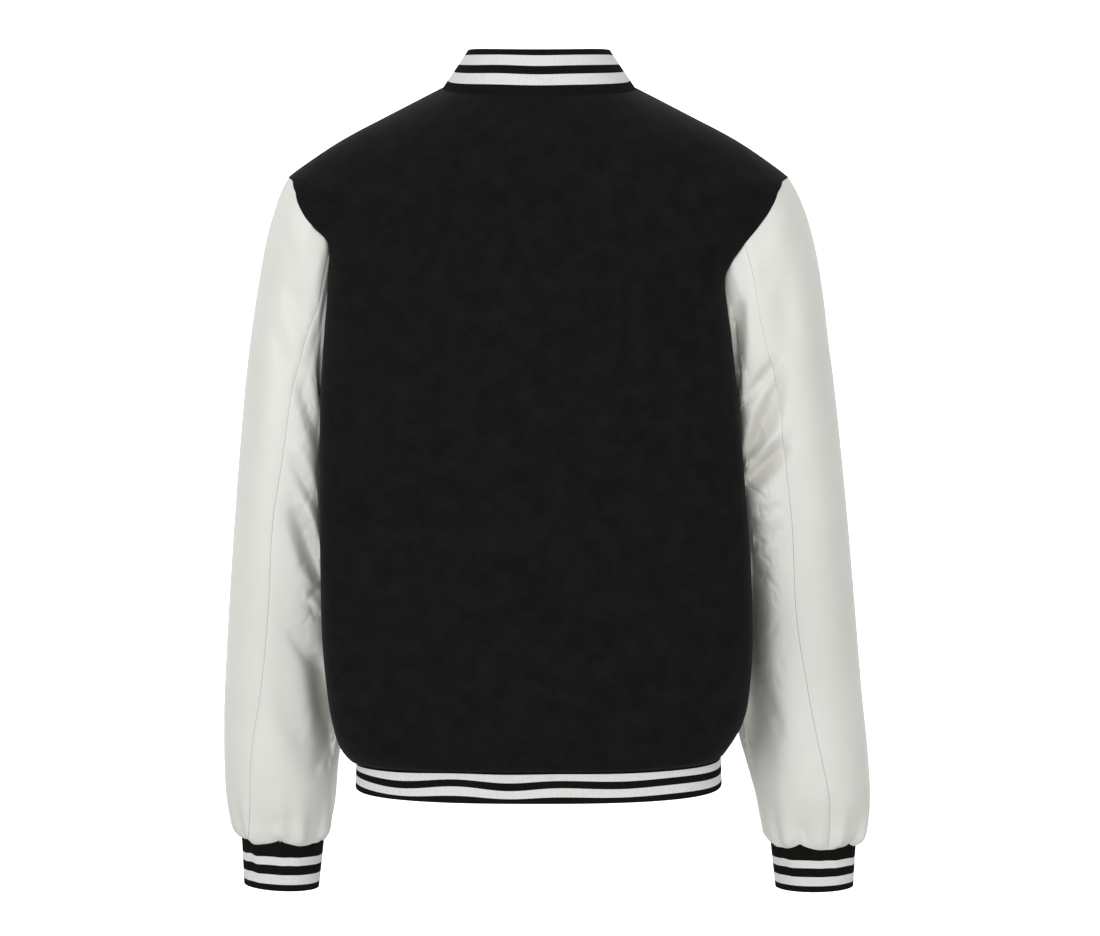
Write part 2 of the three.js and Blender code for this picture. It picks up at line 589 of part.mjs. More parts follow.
// One snap cap: a low dome on the middle of the front band.
function snapCap(name, band, height, colour) {
  const middle = band.points.map((row) => row[1]);
  const r = middle.findIndex((point) => point.z < height);
  const share = (middle[r - 1].z - height) / (middle[r - 1].z - middle[r].z);
  const seat = toward(middle[r - 1], middle[r], share);
  const out = middle[r].clone().sub(middle[r - 1]).cross(vec(1, 0, 0)).normalize();
  if (out.y > 0) out.negate();
  const [radius, thick] = [SNAP_RADIUS, SNAP_THICKNESS];
  const profile = [[0, 0], [radius * 0.9, 0], [radius, thick * 0.35], [radius * 0.86, thick * 0.75],
    [radius * 0.5, thick * 0.95], [0, thick]].map(([x, y]) => new THREE.Vector2(x, y));
  const segments = 16;
  const positions = [0, 0, 0, 0, thick, 0];
  const rings = profile.slice(1, -1);
  rings.forEach(({ x, y }) => {
    for (let k = 0; k < segments; k += 1) {
      const angle = 2 * Math.PI * k / segments;
      positions.push(x * Math.cos(angle), y, x * Math.sin(angle));
    }
  });
  const at = (ring, k) => 2 + ring * segments + (k % segments);
  const triangles = [];
  for (let k = 0; k < segments; k += 1) {
    triangles.push([0, at(0, k), at(0, k + 1)]);
    for (let ring = 0; ring < rings.length - 1; ring += 1) {
      triangles.push([at(ring, k), at(ring + 1, k), at(ring, k + 1)],
        [at(ring, k + 1), at(ring + 1, k), at(ring + 1, k + 1)]);
    }
    triangles.push([1, at(rings.length - 1, k + 1), at(rings.length - 1, k)]);
  }
  const turn = new THREE.Quaternion().setFromUnitVectors(vec(0, 1, 0), out);
  const placed = [];
  for (let i = 0; i < positions.length; i += 3) {
    const point = vec(...positions.slice(i, i + 3)).applyQuaternion(turn).add(seat)
      .addScaledVector(out, SEAM_GAP);
    placed.push(point.x, point.y, point.z);
  }
  return solidMesh(name, placed, triangles, colour);
}

const COLOURS = { wool: 0x1b191a, rib: 0x171714, hide: 0xdedbd5, snap: 0x202022 };

function jacket() {
  const group = new THREE.Group();
  group.name = 'varsity_jacket';
  const back = bodyPanel(backAngles);
  const left = bodyPanel((section) => frontAngles(section, 1));
  const right = bodyPanel((section) => frontAngles(section, -1));
  const neckSeam = seamRow(0);
  const hemSeam = seamRow(BODY_SECTIONS.length - 1);
  const collarEdge = { section: named(COLLAR_TOP, BODY_COLUMNS), dip: SECTION_DIP };
  const hemEdge = { section: named(HEM_BOTTOM, BODY_COLUMNS), dip: HEM_DIP };
  const collar = ribStrip('collar_rib', neckSeam, collarEdge, COLLAR_BANDS, COLOURS.rib,
    collarHeight(neckSeam));
  const hem = ribStrip('hem_rib', hemSeam, hemEdge, HEM_BANDS, COLOURS.rib, () => 1);
  const ribs = { collar: nearestNormal(collar), hem: nearestNormal(hem) };
  const sleeves = { left: sleeveGrid(1), right: sleeveGrid(-1) };
  group.add(panelCloth('back', back, COLOURS.wool, ribs, [
    { column: -1, isFront: false, sleeve: sleeves.left },
    { column: 0, isFront: false, sleeve: sleeves.right }]));
  group.add(panelCloth('front_left', left, COLOURS.wool, ribs,
    [{ column: 0, isFront: true, sleeve: sleeves.left }]));
  group.add(panelCloth('front_right', right, COLOURS.wool, ribs,
    [{ column: -1, isFront: true, sleeve: sleeves.right }]));
  group.add(...sleevePieces(1, 'left', sleeves.left, COLOURS.hide, COLOURS.rib));
  group.add(...sleevePieces(-1, 'right', sleeves.right, COLOURS.hide, COLOURS.rib));
  group.add(collar.mesh, hem.mesh);
  const band = frontBand(left, right, hem);
  group.add(cloth('front_band', band.points, band.under, COLOURS.wool));
  SNAP_HEIGHTS.forEach((height, k) => group.add(snapCap(`snap_${k + 1}`, band, height,
    COLOURS.snap)));
  return group;
}

export default jacket();
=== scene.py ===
import math
import bpy
import numpy as np
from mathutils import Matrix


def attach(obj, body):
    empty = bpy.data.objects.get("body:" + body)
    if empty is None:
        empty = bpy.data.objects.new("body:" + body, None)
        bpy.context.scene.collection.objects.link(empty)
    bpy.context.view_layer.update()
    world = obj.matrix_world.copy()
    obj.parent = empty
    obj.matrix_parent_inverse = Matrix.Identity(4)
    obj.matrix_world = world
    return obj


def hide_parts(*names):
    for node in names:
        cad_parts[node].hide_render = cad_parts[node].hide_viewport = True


# A varsity jacket seen from the back, filled out with nobody in it. The tables and sizes are in
# millimetres, and the meshes are made in metres.
MM = 0.001

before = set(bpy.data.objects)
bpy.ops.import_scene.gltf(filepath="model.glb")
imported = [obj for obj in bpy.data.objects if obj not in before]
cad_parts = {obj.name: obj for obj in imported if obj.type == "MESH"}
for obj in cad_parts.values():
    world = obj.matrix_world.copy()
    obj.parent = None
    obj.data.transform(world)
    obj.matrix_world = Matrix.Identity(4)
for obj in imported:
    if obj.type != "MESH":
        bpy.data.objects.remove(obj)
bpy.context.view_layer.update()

# Cloth thicknesses, and the gap left at every seam.
WOOL, HIDE, RIB, SEAM_GAP = 2.6, 2.0, 3.0, 0.3
BAND_HALF_WIDTH = 17.5

# A side is 1 for the wearer's left and -1 for the right.
LEFT, RIGHT = 1, -1

# Columns of the panels, and the column of a sleeve's back seam. Each is FINE columns of the meshes,
# and each row of a table's last column is FINE rows of the body's, or FINE_DOWN of a sleeve's.
HALF_BACK_COLUMNS, FRONT_COLUMNS = 11, 11
SEAM_COLUMN = {LEFT: 6, RIGHT: 5}
FINE, FINE_DOWN = 6, 11

# How square sections are: 2 is an ellipse, and a higher value is squarer.
FRONT_ROUND, SLEEVE_ROUND = 2.05, 2.1

# The power by which a section's height runs from its sides to its middle. A low one runs sooner.
SECTION_DIP, NECK_DIP, HEM_DIP = 1.6, 0.75, 0.5

# The angle of the front seam round a sleeve, in degrees.
FRONT_SEAM_ANGLE = 262

# Sections of the body from the neck to the hem seam: half widths and heights of the two sides,
# where they are widest, the middle of the back and of the front, how square the back is, the angles
# at which the back panel and the fronts end, and the rows down to the next section.
BODY_COLUMNS = ("left", "right", "leftZ", "rightZ", "wideY", "backY", "backZ", "frontY",
                "frontZ", "round", "leftEdge", "rightEdge", "frontEdge", "rows")
BODY_SECTIONS = (
    (92, 92, 0, 0, 4, 78, -16, -70, -78, 2.15, 90, 90, 90, 2),
    (145, 145, -27.5, -27.5, 3, 95, -49, -90, -108, 2.25, 90, 90, 90, 2),
    (192, 192, -53.5, -53.5, 1.5, 104, -77, -102, -132, 2.4, 90, 90, 90, 2),
    (233, 232, -81.5, -81.5, 0, 109.5, -103, -109, -153, 2.5, 90, 90, 90, 1),
    (240, 239, -90, -90, 4, 111, -113, -111, -161, 2.6, 72.4, 70.9, 106.5, 1),
    (243, 240, -100, -100, 9, 112.5, -123, -113, -169, 2.6, 66.8, 65.8, 112, 1),
    (240, 235, -114, -114, 17, 114, -136, -115, -179, 2.6, 65.7, 64.8, 116, 1),
    (228, 222, -131, -131, 27, 115.5, -151, -117, -191, 2.6, 65.8, 65.9, 119, 1),
    (206, 205, -147, -150, 39, 117, -166, -119, -205, 2.6, 73, 67.1, 120.5, 1),
    (197.6, 185, -160, -171, 45, 118.3, -184, -120.5, -221, 2.6, 82, 74, 121, 1),
    (197.8, 174.6, -190, -189, 49, 119.5, -206, -122, -237, 2.6, 88, 85, 121, 2),
    (201.3, 180.5, -240, -240, 54, 121.5, -249, -124, -273, 2.6, 91, 91, 119.5, 2),
    (203.8, 185, -283, -283, 58, 123, -290, -125.5, -307, 2.6, 96, 96, 114.3, 2),
    (204.3, 187, -302, -302, 60, 124, -311, -126.5, -326, 2.6, 107, 107, 107, 3),
    (204.8, 192, -372, -372, 66, 125, -376, -127, -384, 2.6, 107, 107, 107, 3),
    (204, 197.8, -448, -448, 66, 125, -451, -127, -455, 2.6, 106.5, 106.5, 106.5, 3),
    (202.6, 200.3, -524, -524, 58, 124.5, -527, -126.5, -529, 2.6, 106, 106, 106, 2),
    (197.5, 197, -580, -577, 52, 123.5, -583, -125, -584, 2.6, 105, 105, 105, 1),
    (192.3, 191.5, -609, -602, 46, 122.5, -611, -123, -611, 2.6, 104, 104, 104, 1),
    (187, 183.5, -625, -617, 42, 121, -628, -123, -628, 2.6, 103, 103, 103, 1),
    (179, 177, -636, -625, 32, 117.5, -640, -121, -639, 2.6, 102, 102, 102, 1),
    (172.5, 172, -639.5, -629, 26, 111, -643, -118, -644, 2.6, 102, 102, 102, 0),
)

# The sections at which the armholes start and end.
SHOULDER_TIP, UNDERARM = 3, 13
LAST_SECTION = len(BODY_SECTIONS) - 1

COLLAR_TOP = (68, 68, 35, 35, 2, 61, 29, -62, -34, 2.15, 90, 90, 90, 0)
HEM_BOTTOM = (173.5, 173, -660, -657, 24, 109.5, -672.4, -118, -672, 2.5, 90, 90, 90, 0)

# The free edges of the collar and the hem, and how their stripes wave: how far up and down, from
# where and how long a wave is.
COLLAR_EDGE = {"row": COLLAR_TOP, "dip": SECTION_DIP, "wave": 0.5, "wave_from": 20,
               "wave_length": 90}
HEM_EDGE = {"row": HEM_BOTTOM, "dip": HEM_DIP, "wave": 2.0, "wave_from": 52, "wave_length": 104}

# Where the knitted stripes change colour, as shares from the seam to the free edge. The first
# stripe is black and every second one white.
COLLAR_BANDS = (0, 0.212, 0.452, 0.638, 0.867, 1)
HEM_BANDS = (0, 0.06, 0.29, 0.53, 0.805, 1)
CUFF_BANDS = (0, 0.28, 0.455, 0.655, 0.86, 1)

# The stripes' wave is full on the left of the back. It fades to a share on the right, and to none
# in front, over these distances.
WAVE_LEAST, WAVE_FADE_X, WAVE_FADE_Y = 0.35, (-60, 60), (-40, 40)

# The collar's front corners are rounded: their width, and the share of its height that they lose.
COLLAR_CORNER, COLLAR_CORNER_DROP = 24, 0.6

# Sections of the sleeves: the outer and the inner end seen from behind, how far they reach back and
# forward, how square the quarter beside the body is, the angle of the back seam, and the rows down
# to the next section.
SLEEVE_COLUMNS = ("outX", "outZ", "inX", "inZ", "backY", "frontY", "inRound", "seam", "rows")
LEFT_SLEEVE = (
    (233, -81.5, 195.6, -302, 60, -44, 2.1, 134, 1),
    (241.5, -96, 202, -305, 60, -56, 2.4, 134, 1),
    (249, -114, 202, -311, 60, -66, 2.9, 113.5, 1),
    (257, -138, 200, -319.5, 60, -74, 3.4, 102, 1),
    (264, -168, 201, -331, 59, -80, 4, 97.5, 1),
    (271, -206, 204, -345, 57.5, -85, 5, 98, 1),
    (277.5, -249, 205.5, -362, 55.5, -89, 6, 98.5, 1),
    (283, -298, 206.5, -384, 53, -92, 7, 97.2, 3),
    (291.5, -392, 204.5, -441, 43, -100, 7, 87, 3),
    (298.5, -484, 198, -511, 30, -103, 4, 81.9, 3),
    (304.4, -576, 187, -583, 16, -107, 2.4, 71.6, 2),
    (305.6, -620, 191.5, -622, 9, -109.5, 2.1, 65.6, 1),
    (305.6, -655, 195.5, -652, 2, -111, 2.1, 62.6, 1),
    (303.8, -684, 198, -682, -6, -109, 2.1, 61, 1),
    (299.5, -706, 202, -703, -16, -104, 2.1, 57, 1),
    (293, -717.5, 207, -719.5, -25, -97, 2.1, 50, 1),
    (289, -721, 210, -725, -29, -92, 2.1, 45, 0),
)
RIGHT_SLEEVE = (
    (232, -81.5, 179, -302, 60, -44, 2.1, 118, 1),
    (240.5, -94, 187.5, -305, 60, -56, 2.4, 118, 1),
    (248, -108, 188.5, -311, 60, -66, 2.9, 111, 1),
    (256.5, -129, 184.5, -320, 60, -74, 3.4, 102, 1),
    (264.5, -158, 185.5, -331.5, 59, -80, 3.8, 97, 1),
    (271.5, -196, 186.5, -345, 57.5, -85, 4.4, 96, 1),
    (277.5, -242, 188.5, -362, 55.5, -89, 5, 96.5, 1),
    (284, -290, 190.5, -384, 53, -92, 5.5, 98, 3),
    (294.5, -386, 196.5, -441, 43, -98, 5, 97.3, 3),
    (303.6, -480, 196, -510, 30, -105, 3, 96.4, 3),
    (312.2, -574, 187.5, -583, 16, -110, 2.3, 84.7, 2),
    (317, -618, 193.5, -620, 9, -109.5, 2.1, 82, 1),
    (320.3, -652, 202, -650, 2, -111, 2.1, 80, 1),
    (322, -682, 210.5, -680, -6, -109, 2.1, 78.4, 1),
    (320.5, -706, 215.5, -703, -16, -104, 2.1, 78.4, 1),
    (314.5, -721, 221.5, -720, -25, -97, 2.1, 77, 1),
    (308, -727.5, 226, -727, -29, -92, 2.1, 74.5, 0),
)

# How much of the armhole's own shape each section of a sleeve has, and over how many sections its
# columns turn from the armhole's to the seams'.
ARMHOLE_FADE = (1, 0.8, 0.58, 0.38, 0.22, 0.1, 0.03, 0)
COLUMN_FADE = 4

# Bottom edge of a cuff: the middle and half width in X and in Y, the height, and how much higher
# its outer end is.
CUFF_ENDS = {LEFT: (251, 36.5, -61, 27, -768.5, 2), RIGHT: (268, 38, -61, 28, -769.5, 0.5)}

# Folds seen from behind (face 1) or in front (face -1), as troughs from one place to another.
# They reach out above and below that line by different widths, and a negative depth is a ridge.
# Along its line a fold is as deep as a part of half a sine wave, so it is shallow at its start.
FOLD_COLUMNS = ("face", "fromX", "fromZ", "toX", "toZ", "above", "below", "depth")
LEFT_FOLDS = (
    (1, 203.5, -152, 199.5, -172, 2.5, 2.5, 1.6),
    (1, 234, -186, 222, -228, 9, 9, 3.4),
    (1, 249, -224, 238, -270, 9, 9, 3.0),
    (1, 225, -278, 205, -346, 11, 6, 7),
    (1, 218, -269, 207, -313, 7, 7, -2.5),
    (1, 232, -335, 208, -377, 7, 7, -3),
    (1, 233, -351, 206, -404, 10, 6, 6),
    (1, 222, -391, 207, -419, 6, 6, -3),
    (1, 231, -398, 206, -474, 10, 8, 18),
    (1, 222, -462, 206, -477, 4, 4, -3),
    (1, 218, -479, 204, -487, 4, 4, 4),
    (1, 219, -492, 204, -508, 4, 4, 3.5),
    (1, 217, -487, 205, -497, 4, 4, -2),
    (1, 239, -515, 213, -554, 10, 5, 4),
    (1, 213, -538, 197, -616, 8, 9, 20),
    (1, 208, -547, 189, -609, 4, 4, -3),
    (1, 203, -556, 202, -640, 5, 9, 18),
    (1, 247, -571, 220, -642, 14, 14, 4),
    (1, 199, -623, 208, -652, 4, 3, -2.5),
    (1, 205, -626, 214, -654, 5, 4, 2.5),
    (1, 250, -695, 254, -710, 3, 3, 2.5),
    (-1, 240, -330, 208, -372, 14, 8, 6),
    (-1, 252, -372, 212, -404, 9, 9, -2.5),
    (-1, 246, -410, 207, -455, 14, 7, 7),
    (-1, 236, -482, 206, -512, 10, 8, 4),
    (-1, 250, -560, 212, -612, 15, 8, 6),
    (-1, 262, -610, 236, -662, 12, 12, 4),
)
RIGHT_FOLDS = (
    (1, 215, -169, 213, -194, 9, 9, 1.5),
    (1, 227, -175, 233, -248, 12, 12, 3.5),
    (1, 188, -206, 187, -268, 6, 4, 20),
    (1, 222, -262, 197, -296, 5, 9, 10),
    (1, 227, -278, 199, -350, 7, 9, 22),
    (1, 228, -326, 193, -358, 4, 4, -4),
    (1, 231, -338, 198, -376, 6, 10, 22),
    (1, 202, -312, 209, -329, 2, 2, 2.2),
    (1, 210, -322, 214, -337, 2, 2, -1.8),
    (1, 198, -393, 196, -449, 12, 12, 5),
    (1, 200, -406, 224, -400, 4, 4, 2.5),
    (1, 202, -416, 223, -410, 4, 4, -2),
    (1, 204, -431, 226, -421, 4, 4, 2.5),
    (1, 200, -445, 219, -437, 4, 4, -2),
    (1, 199, -454, 212, -467, 5, 4, 4),
    (1, 203, -440, 200, -570, 5, 12, 18),
    (1, 205, -550, 207, -672, 14, 11, 28),
    (1, 219, -524, 225, -510, 2.5, 2.5, 1.5),
    (1, 210, -571, 226, -601, 6, 5, 5),
    (1, 226, -601, 229, -618, 5, 5, 3),
    (1, 252, -703, 256, -719, 3, 3, 3),
    (-1, 244, -322, 200, -366, 14, 8, 6),
    (-1, 256, -362, 208, -392, 9, 9, -2.5),
    (-1, 250, -418, 204, -452, 14, 7, 7),
    (-1, 240, -486, 206, -514, 10, 8, 4),
    (-1, 262, -548, 216, -600, 15, 8, 5),
    (-1, 272, -606, 244, -664, 12, 12, 4),
)
BODY_FOLDS = (
    (1, 196, -108, 197, -150, 9, 9, 2.5),
    (1, -172, -98, -173, -190, 8, 8, 1.5),
    (1, 176, -470, 172, -618, 16, 16, 2.5),
    (1, 120, -380, 132, -600, 40, 40, 2),
    (1, -110, -340, -128, -590, 44, 44, 2),
    (1, -168, -440, -160, -600, 18, 18, 2),
    (1, 40, -560, 20, -636, 26, 26, -1.5),
    (1, 150, -130, 96, -180, 24, 24, 1.5),
    (1, -150, -130, -96, -184, 24, 24, 1.5),
    (-1, 160, -300, 110, -380, 22, 22, 3),
    (-1, -160, -300, -110, -380, 22, 22, 3),
    (-1, 150, -440, 130, -600, 22, 22, 3),
    (-1, -150, -440, -130, -600, 22, 22, 3),
    (-1, 80, -420, 90, -600, 26, 26, 2),
    (-1, -80, -420, -90, -600, 26, 26, 2),
)
FOLD_START, FOLD_LENGTH = 0.04, 0.78

# Folds and crinkles have their whole depth where the cloth faces the view by half or more.
FULL_FACING = 2

# Patches of fine crinkles in the bends of the sleeves: face, middle, half width and half height,
# depth, and the slope of the crinkles.
CRINKLE_COLUMNS = ("face", "x", "z", "width", "height", "depth", "slope")
LEFT_CRINKLES = (
    (1, 214, -300, 14, 44, 1.2, -55),
    (1, 216, -430, 13, 50, 1.7, -50),
    (1, 213, -500, 13, 34, 1.9, -42),
    (1, 214, -610, 18, 34, 1.2, -60),
    (1, 268, -660, 30, 40, 0.5, -70),
    (-1, 235, -400, 24, 60, 0.9, -40),
)
RIGHT_CRINKLES = (
    (1, 208, -300, 16, 40, 1.3, -48),
    (1, 208, -400, 17, 36, 1.9, -24),
    (1, 213, -465, 18, 50, 2.0, -38),
    (1, 218, -580, 17, 60, 1.4, -68),
    (1, 282, -670, 30, 36, 0.5, -75),
    (-1, 232, -400, 24, 60, 0.9, -40),
)

# The sets of lines in a patch: how far apart, how deep as a share, and turned by how much. A line
# bends from side to side, and it is broken at rates along it and across to the next one.
CRINKLE_SETS = ((12, 1.0, 0), (8, 0.6, 36), (9.5, 0.6, -49))
CRINKLE_BEND, CRINKLE_BEND_RATE = 0.5, 1.3
BREAK_ALONG, BREAK_ACROSS, BREAK_SHARE = 1.9, 2.7, (0.1, 0.9)

# Gathers of a sleeve above its cuff: how many waves round, how deep, and where the first is.
GATHERS = ((11, 1.5, 0.4), (17, 0.8, 2.1), (7, 1.3, 4.0))

# How far the gathers reach up, the heights above the cuff seam over which gathers and folds come
# in, and over how many sections folds come in below an armhole and at the body's two ends.
GATHER_REACH, GATHER_START, FOLD_END = 34, (-4, 8), (-2, 14)
SLEEVE_FOLD_START, BODY_FOLD_START, BODY_FOLD_END = 1.2, 1.0, 1.5

# Lobes of a sleeve that hang over its cuff: how many half waves round, how far down, and for each
# side where the first is. LOBE_MIDDLE is the share of a lobe above the seam's own height.
LOBES = ((5, 4.6, {LEFT: -0.785, RIGHT: 1.48}), (7, 1.6, {LEFT: 0.9, RIGHT: 2.6}))
LOBE_REACH, LOBE_POWER, LOBE_MIDDLE = 11, 0.6, 0.7

# How far a sleeve stands out over its cuff, and how high above the seam.
PUFF, PUFF_REACH = 1.6, 8

# How much lower than its sides the back of a cuff hangs, at its seam and at its free edge.
SEAM_SAG, CUFF_SAG = 2.2, 3.4

# How deep the cloth dips at a sleeve's seams, and by what share that differs down the seam.
SEAM_DIP, SEAM_DIP_CHANGE = 0.55, 0.4

# A rib's vertical ridges: how far apart, how deep, and how many points each has across.
WALE_PITCH, WALE_DEPTH, WALE_SAMPLES = 2.3, 0.34, 4

# Points along the collar and hem, rows to a stripe, and steps in which curves are measured.
RIB_POINTS, ROWS_PER_STRIPE, PANEL_STEPS, RIB_STEPS = 241, 3, 160, 800

# Points of the hem rib that are measured at each end to find those under the front band.
HEM_END = 20

# A snap's cap from its rim to its middle: the distance from its axis and its height.
CAP_PROFILE = ((7.1, 0), (7.45, 0.25), (7.5, 0.8), (7.35, 1.25), (7.0, 1.5), (6.6, 1.45),
               (6.35, 1.55), (6.1, 1.85), (5.4, 2.25), (4.3, 2.6), (3.0, 2.84), (1.5, 2.96))
CAP_SIDES, CAP_HEIGHT, SNAPS = 56, 3, 7


def add_object(name, data):
    thing = bpy.data.objects.new(name, data)
    bpy.context.scene.collection.objects.link(thing)
    return thing


camera = add_object("camera", bpy.data.cameras.new("camera"))
camera.data.lens = 102.8
camera.location = (-0.0105, 3.0, -0.363)
camera.rotation_euler = (math.radians(90), 0, math.radians(180))
bpy.context.scene.camera = camera


# Tables and curves

def smooth(low, high, value):
    """A soft step from 0 at low to 1 at high."""
    share = np.clip((value - low) / (high - low), 0, 1)
    return share * share * (3 - 2 * share)


def unit(vectors):
    return vectors / np.maximum(np.linalg.norm(vectors, axis=-1, keepdims=True), 1e-12)


def table_at(table, columns, places):
    """A table read between its rows along a smooth curve. The panels' edges run straight."""
    rows = np.array(table, float)
    places = np.asarray(places, float)
    i = np.clip(np.floor(places).astype(int), 0, len(rows) - 2)
    t = (places - i)[..., None]
    before, start, end, after = (rows[np.clip(i + k, 0, len(rows) - 1)] for k in (-1, 0, 1, 2))
    curved = 0.5 * (2 * start + (end - before) * t
                    + (2 * before - 5 * start + 4 * end - after) * t ** 2
                    + (3 * start - before - 3 * end + after) * t ** 3)
    straight = start + (end - start) * t
    is_edge = np.array([name.endswith("Edge") for name in columns])
    values = np.where(is_edge, straight, curved)
    return {name: values[..., k] for k, name in enumerate(columns)}


def row_places(table, first, last, finer):
    """Places of the rows of a fine grid between two sections of a table."""
    places = []
    for i in range(first, last):
        steps = table[i][-1] * finer
        places += [i + k / steps for k in range(steps)]
    return np.array(places + [last], float)


def column(section):
    """A section with each value as a column, so that a row of angles can follow it."""
    return {name: np.asarray(value)[..., None] for name, value in section.items()}


def section_point(section, angle):
    """Points on body sections. The angle is 0 at the middle of the back and grows to the left."""
    across, along = np.sin(angle), np.cos(angle)
    is_left, is_back = across >= 0, along >= 0
    power = 2 / np.where(is_back, section["round"], FRONT_ROUND)
    side_z = np.where(is_left, section["leftZ"], section["rightZ"])
    middle_y = np.where(is_back, section["backY"], section["frontY"])
    middle_z = np.where(is_back, section["backZ"], section["frontZ"])
    width = np.where(is_left, section["left"], section["right"])
    reach = np.abs(along)
    x = np.sign(across) * width * np.abs(across) ** power
    y = section["wideY"] + (middle_y - section["wideY"]) * reach ** power
    z = side_z + (middle_z - side_z) * reach ** section["dip"]
    return np.stack(np.broadcast_arrays(x, y, z), axis=-1)


def body_section(places):
    """The body's sections at places down it, with how they dip at the neck and the hem."""
    section = table_at(BODY_SECTIONS, BODY_COLUMNS, places)
    high, low = smooth(2, 0, places), smooth(LAST_SECTION - 4, LAST_SECTION, places)
    section["dip"] = (SECTION_DIP + (NECK_DIP - SECTION_DIP) * high
                      + (HEM_DIP - SECTION_DIP) * low)
    return section


def body_normals(places, angles):
    """Directions out of the body's smooth form, from points a small step away on each side."""
    step = 0.02
    above = section_point(column(body_section(np.maximum(places - step, 0))), angles)
    below = section_point(column(body_section(np.minimum(places + step, LAST_SECTION))), angles)
    here = column(body_section(places))
    across = section_point(here, angles + step) - section_point(here, angles - step)
    return unit(np.cross(across, below - above))


def angles_by_length(section, start, end, lengths_of):
    """Angles that divide each section's run from start to end at the lengths wanted."""
    steps = np.linspace(0, 1, PANEL_STEPS + 1)
    angles = start[:, None] + (end - start)[:, None] * steps
    points = section_point(column(section), angles)
    gaps = np.linalg.norm(np.diff(points, axis=1), axis=-1)
    lengths = np.concatenate([np.zeros((len(gaps), 1)), np.cumsum(gaps, axis=1)], axis=1)
    return np.array([np.interp(lengths_of(run[-1]), run, turn)
                     for run, turn in zip(lengths, angles)])


def back_angles(section):
    half = HALF_BACK_COLUMNS * FINE

    def side(edge):
        return angles_by_length(section, np.zeros_like(edge), edge,
                                lambda whole: np.linspace(0, whole - SEAM_GAP / 2, half + 1))
    right = side(-np.radians(section["rightEdge"]))[:, ::-1]
    left = side(np.radians(section["leftEdge"]))
    return np.concatenate([right, left[:, 1:]], axis=1)


def front_angles(section, side):
    wide = (FRONT_COLUMNS - 1) * FINE
    edge = side * np.radians(section["frontEdge"])
    angles = angles_by_length(
        section, edge, np.full_like(edge, side * math.pi),
        lambda whole: np.concatenate([
            np.linspace(SEAM_GAP / 2, whole - BAND_HALF_WIDTH, wide + 1),
            np.linspace(whole - BAND_HALF_WIDTH, whole - SEAM_GAP / 2, FINE + 1)[1:]]))
    return angles if side > 0 else angles[:, ::-1]


def fold_depths(points, normals, table):
    """How deep all the folds together are at each point, seen straight from behind or in front."""
    total = np.zeros(points.shape[:-1])
    for row in table:
        fold = dict(zip(FOLD_COLUMNS, row))
        start = np.array([fold["fromX"], fold["fromZ"]], float)
        run = np.array([fold["toX"], fold["toZ"]], float) - start
        upward = np.array([run[1], -run[0]]) * (-1 if run[0] > 0 else 1)
        flat = points[..., [0, 2]] - start
        share = np.clip((flat @ run) / (run @ run), 0, 1)
        away = np.linalg.norm(flat - share[..., None] * run, axis=-1)
        reach = np.where(flat @ upward > 0, fold["above"], fold["below"])
        ends = np.sin(math.pi * (FOLD_START + FOLD_LENGTH * share))
        facing = np.clip(normals[..., 1] * fold["face"] * FULL_FACING, 0, 1)
        total += fold["face"] * fold["depth"] * ends * facing * np.exp(-(away / reach) ** 2)
    return total


def crinkle_depths(points, normals, table):
    """Depth of the fine crinkles: thin uneven lines that fade out round each patch's middle."""
    total = np.zeros(points.shape[:-1])
    for row in table:
        patch = dict(zip(CRINKLE_COLUMNS, row))
        x, z = points[..., 0] - patch["x"], points[..., 2] - patch["z"]
        fade = np.exp(-(x / patch["width"]) ** 2 - (z / patch["height"]) ** 2)
        facing = np.clip(normals[..., 1] * patch["face"] * FULL_FACING, 0, 1)
        for apart, share, turned in CRINKLE_SETS:
            slope = math.radians(patch["slope"] + turned)
            along = (x * math.cos(slope) + z * math.sin(slope)) / apart
            across = (z * math.cos(slope) - x * math.sin(slope)) / apart
            bend = CRINKLE_BEND * np.sin(along * CRINKLE_BEND_RATE + patch["x"])
            line = np.abs(np.sin(math.pi * across + bend))
            broken = smooth(*BREAK_SHARE,
                            np.sin(along * BREAK_ALONG + across * BREAK_ACROSS + turned))
            total += (patch["face"] * patch["depth"] * share * fade * facing * broken
                      * (1 - line) ** 2)
    return total


def grid_normals(points, closed, centres):
    """Directions out of a grid of points, away from the middle of each row."""
    if closed:
        across = np.roll(points, -1, axis=1) - np.roll(points, 1, axis=1)
    else:
        across = np.gradient(points, axis=1)
    normals = unit(np.cross(across, np.gradient(points, axis=0)))
    outward = np.sum(normals * (points - centres), axis=-1, keepdims=True)
    return np.where(outward < 0, -normals, normals)


# Seams

def mitre(normals_a, normals_b, limit=0.85):
    """The way through a seam where two cloths meet, as long as one millimetre of cloth."""
    middle = unit(normals_a + normals_b)
    facing = np.maximum(np.sum(middle * normals_a, axis=-1, keepdims=True), limit)
    return middle / facing


def armhole_loop(side):
    """Points round an armhole and the body's normals there: down the back, then up the front."""
    places = row_places(BODY_SECTIONS, SHOULDER_TIP, UNDERARM, FINE)
    section = body_section(places)

    def edge(name):
        angles = side * np.radians(section[name])[:, None]
        return (section_point(column(section), angles)[:, 0], body_normals(places, angles)[:, 0])
    back, back_normals = edge("leftEdge" if side > 0 else "rightEdge")
    front, front_normals = edge("frontEdge")
    return (np.concatenate([back, front[-2:0:-1]]),
            np.concatenate([back_normals, front_normals[-2:0:-1]]))


# Sleeves

